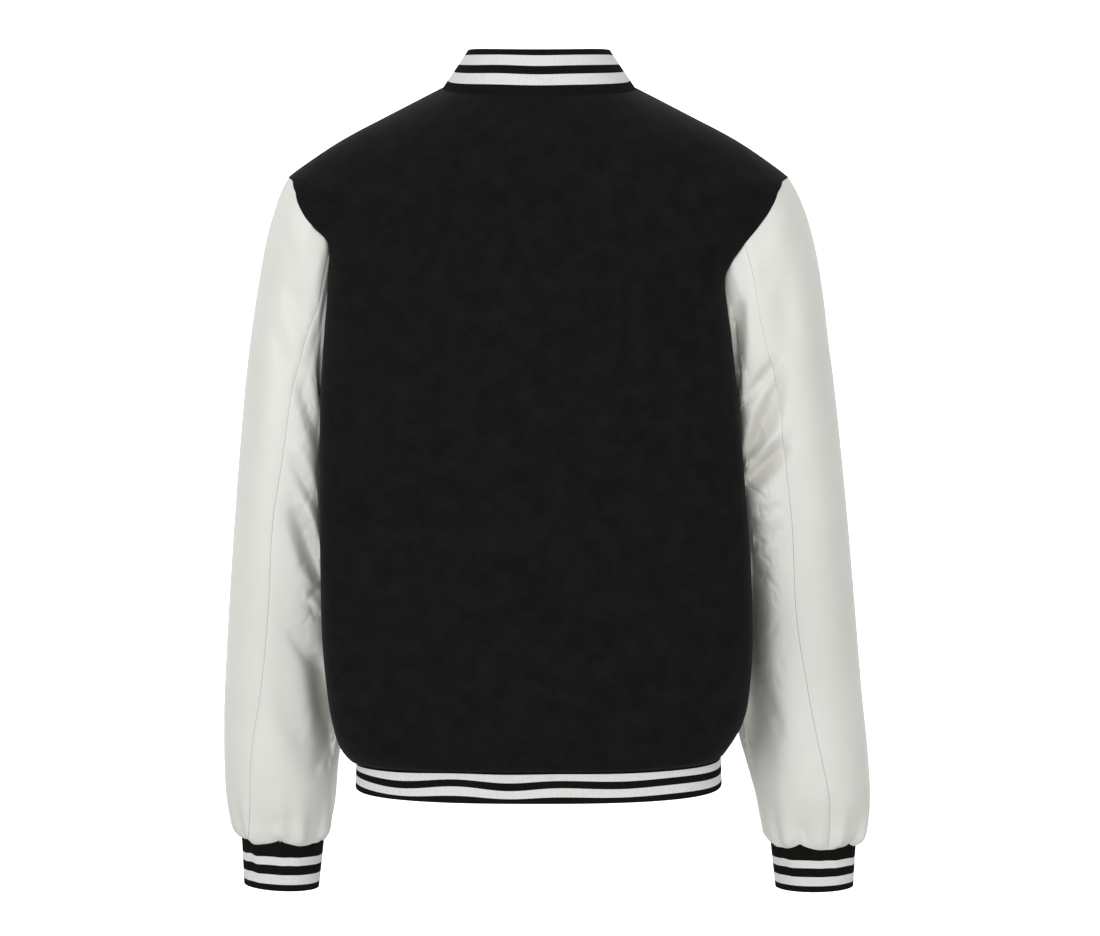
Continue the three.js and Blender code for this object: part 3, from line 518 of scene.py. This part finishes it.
def sleeve_point(section, side, angle):
    """Points on sleeve sections. The angle is 0 at the outer end and grows towards the back."""
    out, back = np.cos(angle), np.sin(angle)
    power = 2 / SLEEVE_ROUND
    reach = np.sign(out) * np.abs(out) ** power
    square = (1 - np.abs(reach) ** section["inRound"]) ** (1 / section["inRound"])
    depth = np.where((out < 0) & (back > 0), square, np.sign(back) * np.abs(back) ** power)
    half = {axis: (section["out" + axis] - section["in" + axis]) / 2 for axis in "XZ"}
    middle = {axis: (section["out" + axis] + section["in" + axis]) / 2 for axis in "XZ"}
    x = side * (middle["X"] + half["X"] * reach)
    y = (section["backY"] + section["frontY"]) / 2
    y = y + (section["backY"] - section["frontY"]) / 2 * depth
    return np.stack(np.broadcast_arrays(x, y, middle["Z"] + half["Z"] * reach), axis=-1)


def sleeve_angles(section, loop_angles, armhole_share, seam_column):
    """Angles of a sleeve's columns: the armhole's own, turning into ones fixed by the seams."""
    half = len(loop_angles) // 2
    columns = np.arange(len(loop_angles))
    knots = [0, seam_column, half, 2 * half - seam_column, 2 * half]
    rows = []
    for seam, share in zip(section["seam"], armhole_share):
        spread = np.interp(columns, knots, [0, seam, 180, FRONT_SEAM_ANGLE, 360])
        rows.append(np.radians(spread) * (1 - share) + loop_angles * share)
    return np.array(rows)


def angles_on_section(loop, section):
    """The angle on a sleeve's first section of each point round its armhole."""
    middle_z = (section["outZ"] + section["inZ"]) / 2
    share = np.clip((loop[:, 2] - middle_z) / (section["outZ"] - middle_z), -1, 1)
    angles = np.arccos(np.sign(share) * np.abs(share) ** (SLEEVE_ROUND / 2))
    is_front = np.arange(len(loop)) > len(loop) // 2
    return np.where(is_front, 2 * math.pi - angles, angles)


def section_middles(section, side):
    return np.stack([side * (section["outX"] + section["inX"]) / 2,
                     (section["backY"] + section["frontY"]) / 2,
                     (section["outZ"] + section["inZ"]) / 2], axis=-1)[:, None, :]


def armhole_seam(loop, through, next_row):
    """An armhole's points, with the ways through its cloth, into the sleeve and along the seam."""
    along = unit(np.roll(loop, -1, axis=0) - np.roll(loop, 1, axis=0))
    to_sleeve = unit(np.cross(along, through))
    facing = np.sum(to_sleeve * (next_row - loop), axis=-1, keepdims=True)
    to_sleeve = np.where(facing < 0, -to_sleeve, to_sleeve)
    return {"loop": loop, "through": through, "to_sleeve": to_sleeve, "along": along}


def sleeve_grid(side):
    """A whole sleeve as a grid closed round, from the armhole to the cuff, with its seam."""
    table = LEFT_SLEEVE if side > 0 else RIGHT_SLEEVE
    loop, loop_normals = armhole_loop(side)
    first = {name: value[0] for name, value in
             table_at(table, SLEEVE_COLUMNS, np.array([0.0])).items()}
    loop_angles = angles_on_section(loop, first)
    places = row_places(table, 0, len(table) - 1, FINE_DOWN)
    section = table_at(table, SLEEVE_COLUMNS, places)
    angles = sleeve_angles(section, loop_angles, np.clip(1 - places / COLUMN_FADE, 0, 1),
                           SEAM_COLUMN[side] * FINE)
    fade = np.interp(places, np.arange(len(ARMHOLE_FADE)), ARMHOLE_FADE)[:, None, None]
    own = loop - sleeve_point(first, side, loop_angles)
    points = sleeve_point(column(section), side, angles) + fade * own
    middles = section_middles(section, side)
    normals = grid_normals(points, True, middles)
    folds, gathers = sleeve_relief(points, normals, side, angles, places)
    points = points - np.array([0, 1, 0]) * folds[..., None] - normals * gathers[..., None]
    lobes = hang_over_cuff(points, side, angles)
    normals = grid_normals(points, True, middles)
    seam = armhole_seam(loop, mitre(loop_normals, normals[0]), points[1])
    points[0] = loop + seam["to_sleeve"] * SEAM_GAP / 2
    return points, normals, {**seam, "lobes": lobes}


def sleeve_relief(points, normals, side, angles, places):
    """Depth along Y of a sleeve's folds, and along its normals of the gathers above its cuff."""
    mirrored = points * np.array([side, 1, 1])
    folds = fold_depths(mirrored, normals, LEFT_FOLDS if side > 0 else RIGHT_FOLDS)
    folds += crinkle_depths(mirrored, normals, LEFT_CRINKLES if side > 0 else RIGHT_CRINKLES)
    rise = points[..., 2] - points[-1, :, 2].mean()
    waves = sum(depth * np.sin(count * angles + phase * side)
                for count, depth, phase in GATHERS)
    gathered = waves * np.exp(-(rise / GATHER_REACH) ** 2) * smooth(*GATHER_START, rise)
    gathered = gathered - PUFF * np.exp(-((rise - PUFF_REACH) / PUFF_REACH) ** 2)
    hold = smooth(0, SLEEVE_FOLD_START, places)[:, None]
    return folds * hold * smooth(*FOLD_END, rise), gathered


def hang_over_cuff(points, side, angles):
    """Moves the end of a sleeve down in its lobes and its sag. Returns its last row's lobes."""
    rise = np.maximum(points[..., 2] - points[-1, :, 2].mean(), 0)
    near = np.exp(-(rise / LOBE_REACH) ** 2)
    waves = sum(depth * (np.abs(np.sin(count * angles / 2 + phases[side])) ** LOBE_POWER
                         - LOBE_MIDDLE)
                for count, depth, phases in LOBES)
    lobes = waves * near
    points[..., 2] -= lobes + SEAM_SAG * np.sin(angles) * near
    return lobes[-1]


def cuff_rows(side, seam_row, lobes, shares):
    """Rows of a cuff down from its seam. Only its first stripe follows the sleeve's lobes."""
    mid_x, half_x, mid_y, half_y, low, tilt = CUFF_ENDS[side]
    centre = seam_row.mean(axis=0)
    turn = np.arctan2((seam_row[:, 1] - centre[1]) / half_y, (seam_row[:, 0] - centre[0]) / half_x)
    bottom = np.stack([side * mid_x + half_x * np.cos(turn), mid_y + half_y * np.sin(turn),
                       low + side * tilt * np.cos(turn) - CUFF_SAG * np.sin(turn)], axis=-1)
    shares = np.asarray(shares)[:, None]
    points = seam_row + (bottom - seam_row) * shares[..., None]
    points[..., 2] += lobes * (1 - shares - np.clip(1 - shares / CUFF_BANDS[1], 0, 1))
    points[..., 2] -= SEAM_GAP * (1 - shares)
    return points


# Meshes

def grid_faces(rows, columns, closed):
    """Faces of a cloth's outer side, inner side and rims, and the row of the grid of each."""
    last = columns if closed else columns - 1
    r, c = np.meshgrid(np.arange(rows - 1), np.arange(last), indexing="ij")
    after = (c + 1) % columns

    def at(side, row, col):
        return side * rows * columns + row * columns + col

    def rim(row, col, next_row, next_col):
        return np.stack([at(0, row, col), at(0, next_row, next_col),
                         at(1, next_row, next_col), at(1, row, col)], -1)
    outside = np.stack([at(0, r, c), at(0, r + 1, c), at(0, r + 1, after), at(0, r, after)], -1)
    inside = np.stack([at(1, r, c), at(1, r, after), at(1, r + 1, after), at(1, r + 1, c)], -1)
    k = np.arange(last)
    top, bottom = (rim(row, k, row, (k + 1) % columns) for row in (0, rows - 1))
    faces = [outside.reshape(-1, 4), inside.reshape(-1, 4), top, bottom[:, ::-1]]
    face_rows = [r.ravel(), r.ravel(), np.full(last, 0), np.full(last, rows - 2)]
    if not closed:
        j = np.arange(rows - 1)
        start, end = (rim(j, col, j + 1, col) for col in (0, columns - 1))
        faces += [start[:, ::-1], end]
        face_rows += [j, j]
    return np.concatenate(faces), np.concatenate(face_rows)


def grid_object(name, outer, inner, closed=False, row_slots=None):
    """A cloth with thickness from its outer and inner grids. row_slots are material numbers."""
    faces, face_rows = grid_faces(*outer.shape[:2], closed)
    points = np.concatenate([outer.reshape(-1, 3), inner.reshape(-1, 3)])
    if signed_volume(points, faces) < 0:
        faces = faces[:, ::-1]
    mesh = bpy.data.meshes.new(name)
    mesh.from_pydata((points * MM).tolist(), [], faces.tolist())
    if row_slots is not None:
        mesh.polygons.foreach_set("material_index", row_slots[face_rows].astype(np.int32))
    mesh.shade_smooth()
    mesh.set_sharp_from_angle(angle=math.radians(55))
    mesh.update()
    piece = add_object(name, mesh)
    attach(piece, "root")
    return piece


def signed_volume(points, faces):
    """Six times a mesh's volume, which is negative where its faces point inwards."""
    a, b, c, d = (points[faces[:, k]] for k in range(4))
    return np.sum(a * np.cross(b, c)) + np.sum(a * np.cross(c, d))


def declare(node):
    """Hides the part of the model that a cloth replaces."""
    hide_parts(node)


# Materials

def new_material(name, colour, roughness):
    material = bpy.data.materials.new(name)
    material.use_nodes = True
    nodes, links = material.node_tree.nodes, material.node_tree.links
    shader = nodes["Principled BSDF"]
    shader.inputs["Base Color"].default_value = (*colour, 1)
    shader.inputs["Roughness"].default_value = roughness
    return material, nodes, links, shader


def noise(nodes, links, scale, detail, roughness=0.55, stretch=None):
    """A noise with about scale waves to the metre, stretched or not."""
    place = nodes.new("ShaderNodeTexCoord").outputs["Object"]
    texture = nodes.new("ShaderNodeTexNoise")
    texture.inputs["Scale"].default_value = scale
    texture.inputs["Detail"].default_value = detail
    texture.inputs["Roughness"].default_value = roughness
    if stretch is not None:
        mapping = nodes.new("ShaderNodeMapping")
        mapping.inputs["Scale"].default_value = stretch
        links.new(place, mapping.inputs["Vector"])
        place = mapping.outputs["Vector"]
    links.new(place, texture.inputs["Vector"])
    return texture.outputs["Fac"]


def ramp(nodes, links, value, stops):
    """A colour that runs with a value through stops, each a place and its colour."""
    node = nodes.new("ShaderNodeValToRGB")
    elements = node.color_ramp.elements
    while len(elements) < len(stops):
        elements.new(0.5)
    for element, (place, colour) in zip(elements, stops):
        element.position = place
        element.color = (*colour, 1)
    links.new(value, node.inputs["Fac"])
    return node.outputs["Color"]


def bump(nodes, links, height, strength, distance, below=None):
    """A bump as deep as distance, in metres, over the one below it."""
    node = nodes.new("ShaderNodeBump")
    node.inputs["Strength"].default_value = strength
    node.inputs["Distance"].default_value = distance
    links.new(height, node.inputs["Height"])
    if below is not None:
        links.new(below, node.inputs["Normal"])
    return node.outputs["Normal"]


def dress(links, shader, colour, normal, values):
    """Joins a colour and a bump to a shader, and sets its other inputs."""
    links.new(colour, shader.inputs["Base Color"])
    links.new(normal, shader.inputs["Normal"])
    for name, value in values.items():
        shader.inputs[name].default_value = value


def wool_material():
    material, nodes, links, shader = new_material("wool_melton", (0.012, 0.011, 0.0115), 0.95)
    felt = noise(nodes, links, scale=900, detail=6, roughness=0.7)
    cloud = noise(nodes, links, scale=60, detail=3)
    fibres = noise(nodes, links, scale=320, detail=5, roughness=0.65, stretch=(1, 1, 2.4))
    mix = nodes.new("ShaderNodeMath")
    mix.operation = "MULTIPLY"
    links.new(felt, mix.inputs[0])
    links.new(cloud, mix.inputs[1])
    colour = ramp(nodes, links, mix.outputs["Value"],
                  ((0.16, (0.0056, 0.0049, 0.0051)), (0.42, (0.0100, 0.0087, 0.0090))))
    soft = bump(nodes, links, fibres, strength=0.35, distance=0.0006)
    nap = bump(nodes, links, felt, strength=0.4, distance=0.0003, below=soft)
    dress(links, shader, colour, nap,
          {"Sheen Weight": 0.03, "Sheen Roughness": 0.5, "Specular IOR Level": 0.08})
    return material


def knit_material(name, low, high, sheen):
    material, nodes, links, shader = new_material(name, high, 0.92)
    yarn = noise(nodes, links, scale=700, detail=4, roughness=0.6, stretch=(1, 1, 0.6))
    colour = ramp(nodes, links, yarn, ((0.32, low), (0.62, high)))
    loops = bump(nodes, links, yarn, strength=0.35, distance=0.0005)
    dress(links, shader, colour, loops,
          {"Sheen Weight": sheen, "Sheen Roughness": 0.6, "Specular IOR Level": 0.05})
    return material


def hide_material():
    material, nodes, links, shader = new_material("sleeve_hide", (0.72, 0.72, 0.69), 0.56)
    grain = noise(nodes, links, scale=420, detail=5, roughness=0.6)
    cloud = noise(nodes, links, scale=9, detail=3)
    pores = nodes.new("ShaderNodeTexVoronoi")
    pores.inputs["Scale"].default_value = 650
    place = nodes.new("ShaderNodeTexCoord")
    links.new(place.outputs["Object"], pores.inputs["Vector"])
    colour = ramp(nodes, links, cloud,
                  ((0.35, (0.728, 0.712, 0.660)), (0.65, (0.780, 0.765, 0.712))))
    fine = bump(nodes, links, pores.outputs["Distance"], strength=0.12, distance=0.0004)
    skin = bump(nodes, links, grain, strength=0.14, distance=0.0006, below=fine)
    dress(links, shader, colour, skin, {"Specular IOR Level": 0.35, "Sheen Weight": 0.05})
    return material


def snap_material():
    material, nodes, links, shader = new_material("snap_enamel", (0.012, 0.012, 0.013), 0.34)
    wear = noise(nodes, links, scale=260, detail=4)
    colour = ramp(nodes, links, wear, ((0.4, (0.010, 0.010, 0.011)), (0.72, (0.02, 0.02, 0.022))))
    dull = bump(nodes, links, wear, strength=0.05, distance=0.0002)
    dress(links, shader, colour, dull, {"Coat Weight": 0.35})
    return material


WOOL_LOOK = wool_material()
BLACK_KNIT = knit_material("black_knit", (0.0042, 0.0041, 0.0036), (0.0078, 0.0076, 0.0066), 0.01)
WHITE_KNIT = knit_material("white_knit", (0.65, 0.645, 0.62), (0.74, 0.735, 0.71), 0.04)
HIDE_LOOK = hide_material()
SNAP_LOOK = snap_material()


# Body panels

def armhole_edge(seam, is_front):
    """Outer and inner points of a panel's edge down an armhole, half a seam clear of it."""
    half = len(seam["loop"]) // 2
    k = np.arange(half + 1)
    from_loop = (2 * half - k) % (2 * half) if is_front else k
    corner = np.zeros(half + 1)
    corner[0], corner[-1] = (-1, 1) if is_front else (1, -1)
    outer = (seam["loop"][from_loop] - seam["to_sleeve"][from_loop] * SEAM_GAP / 2
             + seam["along"][from_loop] * (corner * SEAM_GAP / 2)[:, None])
    return outer, outer - seam["through"][from_loop] * WOOL


def panel(name, node, angles_of, is_front, armholes):
    """Makes a panel of the body and returns its outer points. armholes: columns and their seams."""
    places = row_places(BODY_SECTIONS, 0, LAST_SECTION, FINE)
    section = body_section(places)
    angles = angles_of(section)
    points = section_point(column(section), angles)
    normals = body_normals(places, angles)
    hold = (smooth(0, BODY_FOLD_START, places)
            * smooth(LAST_SECTION, LAST_SECTION - BODY_FOLD_END, places))
    folds = fold_depths(points, normals, BODY_FOLDS) * hold[:, None]
    points = points - np.array([0, 1, 0]) * folds[..., None]
    inner = points - normals * WOOL
    tip = int(np.argmin(np.abs(places - SHOULDER_TIP)))
    arm = int(np.argmin(np.abs(places - UNDERARM)))
    for edge, seam in armholes:
        points[tip:arm + 1, edge], inner[tip:arm + 1, edge] = armhole_edge(seam, is_front)
    piece = grid_object(name, points, inner)
    piece.data.materials.append(WOOL_LOOK)
    declare(node)
    return points


left_sleeve, left_normals, left_seam = sleeve_grid(LEFT)
right_sleeve, right_normals, right_seam = sleeve_grid(RIGHT)
panel("wool_back", "back", back_angles, False, ((-1, left_seam), (0, right_seam)))
left_points = panel("wool_front_left", "front_left", lambda section: front_angles(section, LEFT),
                    True, ((0, left_seam),))
right_points = panel("wool_front_right", "front_right",
                     lambda section: front_angles(section, RIGHT), True, ((-1, right_seam),))


# Sleeve pieces and cuffs

def strip(grid, outer, normals, first, count):
    """Neighbouring columns of a closed grid. Both edges are half a seam in and dip a little."""
    total = grid.shape[1]
    columns = np.arange(first, first + count + 1) % total
    cut = grid[:, columns].copy()
    rows = np.arange(len(grid))[:, None]
    change = np.sin(rows * 0.9) * np.sin(rows * 0.23 + 1)
    pull = SEAM_DIP * (1 + SEAM_DIP_CHANGE * change)
    for edge, sign in ((0, 1), (-1, -1)):
        here = columns[edge]
        along = unit(outer[:, (here + 1) % total] - outer[:, (here - 1) % total])
        cut[:, edge] += sign * along * SEAM_GAP / 2
        cut[1:-1, edge] -= (pull * normals[:, here])[1:-1]
    return cut


def band_rows(bands):
    """Shares of the rows of a rib, and the material of each row: 0 is black and 1 is white."""
    shares, slots = [], []
    for k, (low, high) in enumerate(zip(bands[:-1], bands[1:])):
        shares += [low + (high - low) * j / ROWS_PER_STRIPE for j in range(ROWS_PER_STRIPE)]
        slots += [k % 2] * ROWS_PER_STRIPE
    return np.array(shares + [bands[-1]]), np.array(slots)


def wales(points, normals, closed):
    """A rib's outer and inner points, sampled finely across and raised into vertical ridges."""
    if closed:
        points = np.concatenate([points, points[:, :1]], axis=1)
        normals = np.concatenate([normals, normals[:, :1]], axis=1)
    middle = points[len(points) // 2]
    lengths = np.concatenate([[0], np.cumsum(np.linalg.norm(np.diff(middle, axis=0), axis=-1))])
    count = int(lengths[-1] / WALE_PITCH)
    samples = np.linspace(0, 1, count * WALE_SAMPLES + 1)
    if closed:
        samples = samples[:-1]
    where = samples * lengths[-1]

    def spread(grid):
        return np.stack([np.stack([np.interp(where, lengths, row[:, k]) for k in range(3)], -1)
                         for row in grid])
    fine, out = spread(points), unit(spread(normals))
    raised = np.abs(np.sin(math.pi * samples * count)) ** 0.7 - 1
    return fine + out * (WALE_DEPTH * raised)[None, :, None], fine - out * RIB


def rib_object(name, node, points, normals, row_slots, closed):
    outer, inner = wales(points, normals, closed)
    piece = grid_object(name, outer, inner, closed, row_slots)
    piece.data.materials.append(BLACK_KNIT)
    piece.data.materials.append(WHITE_KNIT)
    declare(node)


def sleeve_pieces(side, name, points, normals, seam):
    """A sleeve's top and under pieces, cut from its grid at the two seams, and its cuff."""
    count = points.shape[1]
    shares, slots = band_rows(CUFF_BANDS)
    cuff = cuff_rows(side, points[-1], seam["lobes"], shares)
    centre = cuff.mean(axis=1, keepdims=True)
    cuff_normals = grid_normals(cuff, True, centre)
    inner = points - normals * HIDE
    inner[0] = points[0] - seam["through"] * HIDE
    inner[-1] = points[-1] - mitre(normals[-1], cuff_normals[0]) * HIDE
    seam_column = SEAM_COLUMN[side] * FINE
    runs = (("top", count - seam_column, 2 * seam_column),
            ("under", seam_column, count - 2 * seam_column))
    for part, first, length in runs:
        outer = strip(points, points, normals, first, length)
        piece = grid_object(f"hide_{name}_{part}", outer,
                            strip(inner, points, normals, first, length))
        piece.data.materials.append(HIDE_LOOK)
        declare(f"sleeve_{name}_{part}")
    rib_object(f"knit_cuff_{name}", f"cuff_{name}", cuff, cuff_normals, slots, True)


sleeve_pieces(LEFT, "left", left_sleeve, left_normals, left_seam)
sleeve_pieces(RIGHT, "right", right_sleeve, right_normals, right_seam)


# Collar and hem rib

def whole_section_angles(section):
    """Angles that divide a section evenly by length, from one side of the front to the other."""
    angles = np.linspace(-math.pi, math.pi, RIB_STEPS + 1)
    points = section_point(column(section), angles[None, :])[0]
    gaps = np.linalg.norm(np.diff(points, axis=0), axis=-1)
    lengths = np.concatenate([[0], np.cumsum(gaps)])
    wanted = np.linspace(SEAM_GAP / 2, lengths[-1] - SEAM_GAP / 2, RIB_POINTS)
    return np.interp(wanted, lengths, angles)


def rib_rows(place, edge, shares, height_share):
    """Rows of a rib from its seam, at a place down the body, to its free edge."""
    section = body_section(np.array([float(place)]))
    angles = whole_section_angles(section)
    end = {name: np.array([float(value)]) for name, value in zip(BODY_COLUMNS, edge["row"])}
    end["dip"] = edge["dip"]
    top = section_point(column(section), angles[None, :])[0]
    bottom = section_point(column(end), angles[None, :])[0]
    length = np.linalg.norm(bottom - top, axis=-1)
    height = height_share(top)
    rows = [(SEAM_GAP + (length - SEAM_GAP) * share * height) / length for share in shares]
    return np.array([top + (bottom - top) * row[:, None] for row in rows])


def collar_height(points):
    """The share of the collar's height at each point: less where its front corners are round."""
    share = np.where(points[:, 1] < 0, np.clip(1 - np.abs(points[:, 0]) / COLLAR_CORNER, 0, 1), 0)
    return 1 - COLLAR_CORNER_DROP * (1 - np.sqrt(1 - share * share))


def rib_strip(name, node, place, edge, bands, height_share):
    """Makes the collar or the hem rib and returns its points before they are raised."""
    shares, slots = band_rows(bands)
    points = rib_rows(place, edge, shares, height_share)
    spread = 4 * shares * (1 - shares)
    x, y = points[0, :, 0], points[0, :, 1]
    wave = np.sin((x - edge["wave_from"]) * 2 * math.pi / edge["wave_length"])
    wave = (wave * (WAVE_LEAST + (1 - WAVE_LEAST) * smooth(*WAVE_FADE_X, x))
            * smooth(*WAVE_FADE_Y, y))
    points[..., 2] += edge["wave"] * spread[:, None] * wave
    centre = points.mean(axis=1, keepdims=True) * np.array([0, 0, 1])
    normals = grid_normals(points, False, centre)
    rib_object(name, node, points, normals, slots, False)
    return points


rib_strip("knit_collar", "collar_rib", 0, COLLAR_EDGE, COLLAR_BANDS, collar_height)
hem_points = rib_strip("knit_hem", "hem_rib", LAST_SECTION, HEM_EDGE, HEM_BANDS,
                       lambda points: np.ones(len(points)))


# Front band and snaps

def band_over_hem(row):
    """Points across the hem rib, from half a band right of its front gap to half a band left."""
    steps = np.linspace(0, BAND_HALF_WIDTH, FINE + 1)

    def half(points):
        run = np.linalg.norm(points - points[0], axis=-1)
        return np.stack([np.interp(steps, run, points[:, k]) for k in range(3)], axis=-1)
    right, left = half(row[:HEM_END]), half(row[:-HEM_END - 1:-1])
    return np.concatenate([right[:0:-1], (right[:1] + left[:1]) / 2, left[1:]])


def front_band():
    """The band lies on the two fronts and the hem rib, made from their points."""
    left = left_points[:, -(FINE + 1):]
    right = right_points[:, :FINE + 1]
    centre = (left[:, -1:] + right[:, :1]) / 2
    over_fronts = np.concatenate([right[:, :0:-1], centre, left[:, -2::-1]], axis=1)
    over_hem = np.array([band_over_hem(row) for row in hem_points[1:]])
    points = np.concatenate([over_fronts, over_hem])
    normals = unit(np.cross(np.gradient(points, axis=1), np.gradient(points, axis=0)))
    normals = np.where(normals[..., 1:2] > 0, -normals, normals)
    under = points + normals * SEAM_GAP
    piece = grid_object("wool_band", under + normals * WOOL, under)
    piece.data.materials.append(WOOL_LOOK)
    declare("front_band")


def cap_directions(node):
    """The middle of a snap's solid, the way that it faces, and two ways across it."""
    solid = bpy.data.objects[node]
    points = np.array([solid.matrix_world @ v.co for v in solid.data.vertices]) / MM
    centre = (points.max(axis=0) + points.min(axis=0)) / 2
    around = points - centre
    axis = np.linalg.eigh(around.T @ around)[1][:, 0]
    axis = axis if axis[1] < 0 else -axis
    across = unit(np.cross(axis, (0, 0, 1)))
    return centre, axis, across, np.cross(across, axis)


def cap_faces(top, bottom):
    """Faces of a cap: rings from the rim up, a fan round the top and one round the bottom."""
    last = (len(CAP_PROFILE) - 1) * CAP_SIDES
    faces = []
    for k in range(CAP_SIDES):
        after = (k + 1) % CAP_SIDES
        faces += [(ring + k, ring + after, ring + CAP_SIDES + after, ring + CAP_SIDES + k)
                  for ring in range(0, last, CAP_SIDES)]
        faces += [(last + k, last + after, top), (after, k, bottom)]
    return faces


def snap_cap(number):
    """A turned cap in the place of its solid."""
    node = f"snap_{number}"
    centre, axis, across, upward = cap_directions(node)
    base = centre - axis * CAP_HEIGHT / 2
    turn = np.arange(CAP_SIDES) * 2 * math.pi / CAP_SIDES
    circle = np.cos(turn)[:, None] * across + np.sin(turn)[:, None] * upward
    rings = [base + circle * reach + axis * height for reach, height in CAP_PROFILE]
    vertices = np.concatenate(rings + [[base + axis * CAP_HEIGHT], [base]]) * MM
    mesh = bpy.data.meshes.new(f"snap_cap_{number}")
    mesh.from_pydata(vertices.tolist(), [], cap_faces(len(vertices) - 2, len(vertices) - 1))
    mesh.shade_smooth()
    mesh.materials.append(SNAP_LOOK)
    cap = add_object(f"snap_cap_{number}", mesh)
    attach(cap, "root")
    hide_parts(node)


front_band()
for snap_number in range(1, SNAPS + 1):
    snap_cap(snap_number)


# Stage

# The floor and the wall behind the jacket, seen from the side in metres as Y and Z.
STAGE_PROFILE = ((5.0, -1.7), (-2.2, -1.7), (-2.9, -1.55), (-3.3, -1.1), (-3.4, -0.4), (-3.4, 4.5))
STAGE_HALF_WIDTH, FIRST_WALL_FACE = 7, 2
LIGHT_COLOUR = (0.975, 1.0, 1.03)


def stage():
    mesh = bpy.data.meshes.new("floor")
    points = [(x, y, z) for y, z in STAGE_PROFILE for x in (-STAGE_HALF_WIDTH, STAGE_HALF_WIDTH)]
    faces = [(2 * k, 2 * k + 1, 2 * k + 3, 2 * k + 2) for k in range(len(STAGE_PROFILE) - 1)]
    mesh.from_pydata(points, [], faces)
    mesh.shade_smooth()
    floor = add_object("floor", mesh)
    mesh.materials.append(new_material("pale_floor", (0.62, 0.62, 0.62), 0.9)[0])
    wall, _, _, shader = new_material("pale_wall", (0.9, 0.9, 0.9), 0.9)
    shader.inputs["Emission Color"].default_value = (1, 1, 1, 1)
    shader.inputs["Emission Strength"].default_value = 0.9
    mesh.materials.append(wall)
    for face in mesh.polygons[FIRST_WALL_FACE:]:
        face.material_index = 1


def soft_light(name, place, target, size, power):
    """A rectangular light at a place, turned to its target. Metres and watts."""
    data = bpy.data.lights.new(name, "AREA")
    data.shape = "RECTANGLE"
    data.size, data.size_y = size
    data.energy = power
    data.color = LIGHT_COLOUR
    light = add_object(name, data)
    place, target = np.array(place), np.array(target)
    forward = unit(target - place)
    yaw = math.atan2(forward[0], -forward[1])
    pitch = math.acos(np.clip(-forward[2], -1, 1))
    light.location = place.tolist()
    light.rotation_euler = (pitch, 0, math.pi + yaw)


stage()
soft_light("key", place=(1.5, 3.6, 0.5), target=(0, 0, -0.35), size=(2.6, 2.4), power=82)
soft_light("fill", place=(-2.4, 3.0, 0.2), target=(0, 0, -0.4), size=(2.4, 2.4), power=26)
soft_light("top", place=(0, 1.0, 2.6), target=(0, 0, -0.3), size=(2.6, 1.8), power=9)
world = bpy.data.worlds.new("studio")
world.use_nodes = True
world.node_tree.nodes["Background"].inputs["Color"].default_value = (1, 1, 1, 1)
world.node_tree.nodes["Background"].inputs["Strength"].default_value = 0.45
bpy.context.scene.world = world
bpy.context.scene.view_settings.view_transform = "Standard"
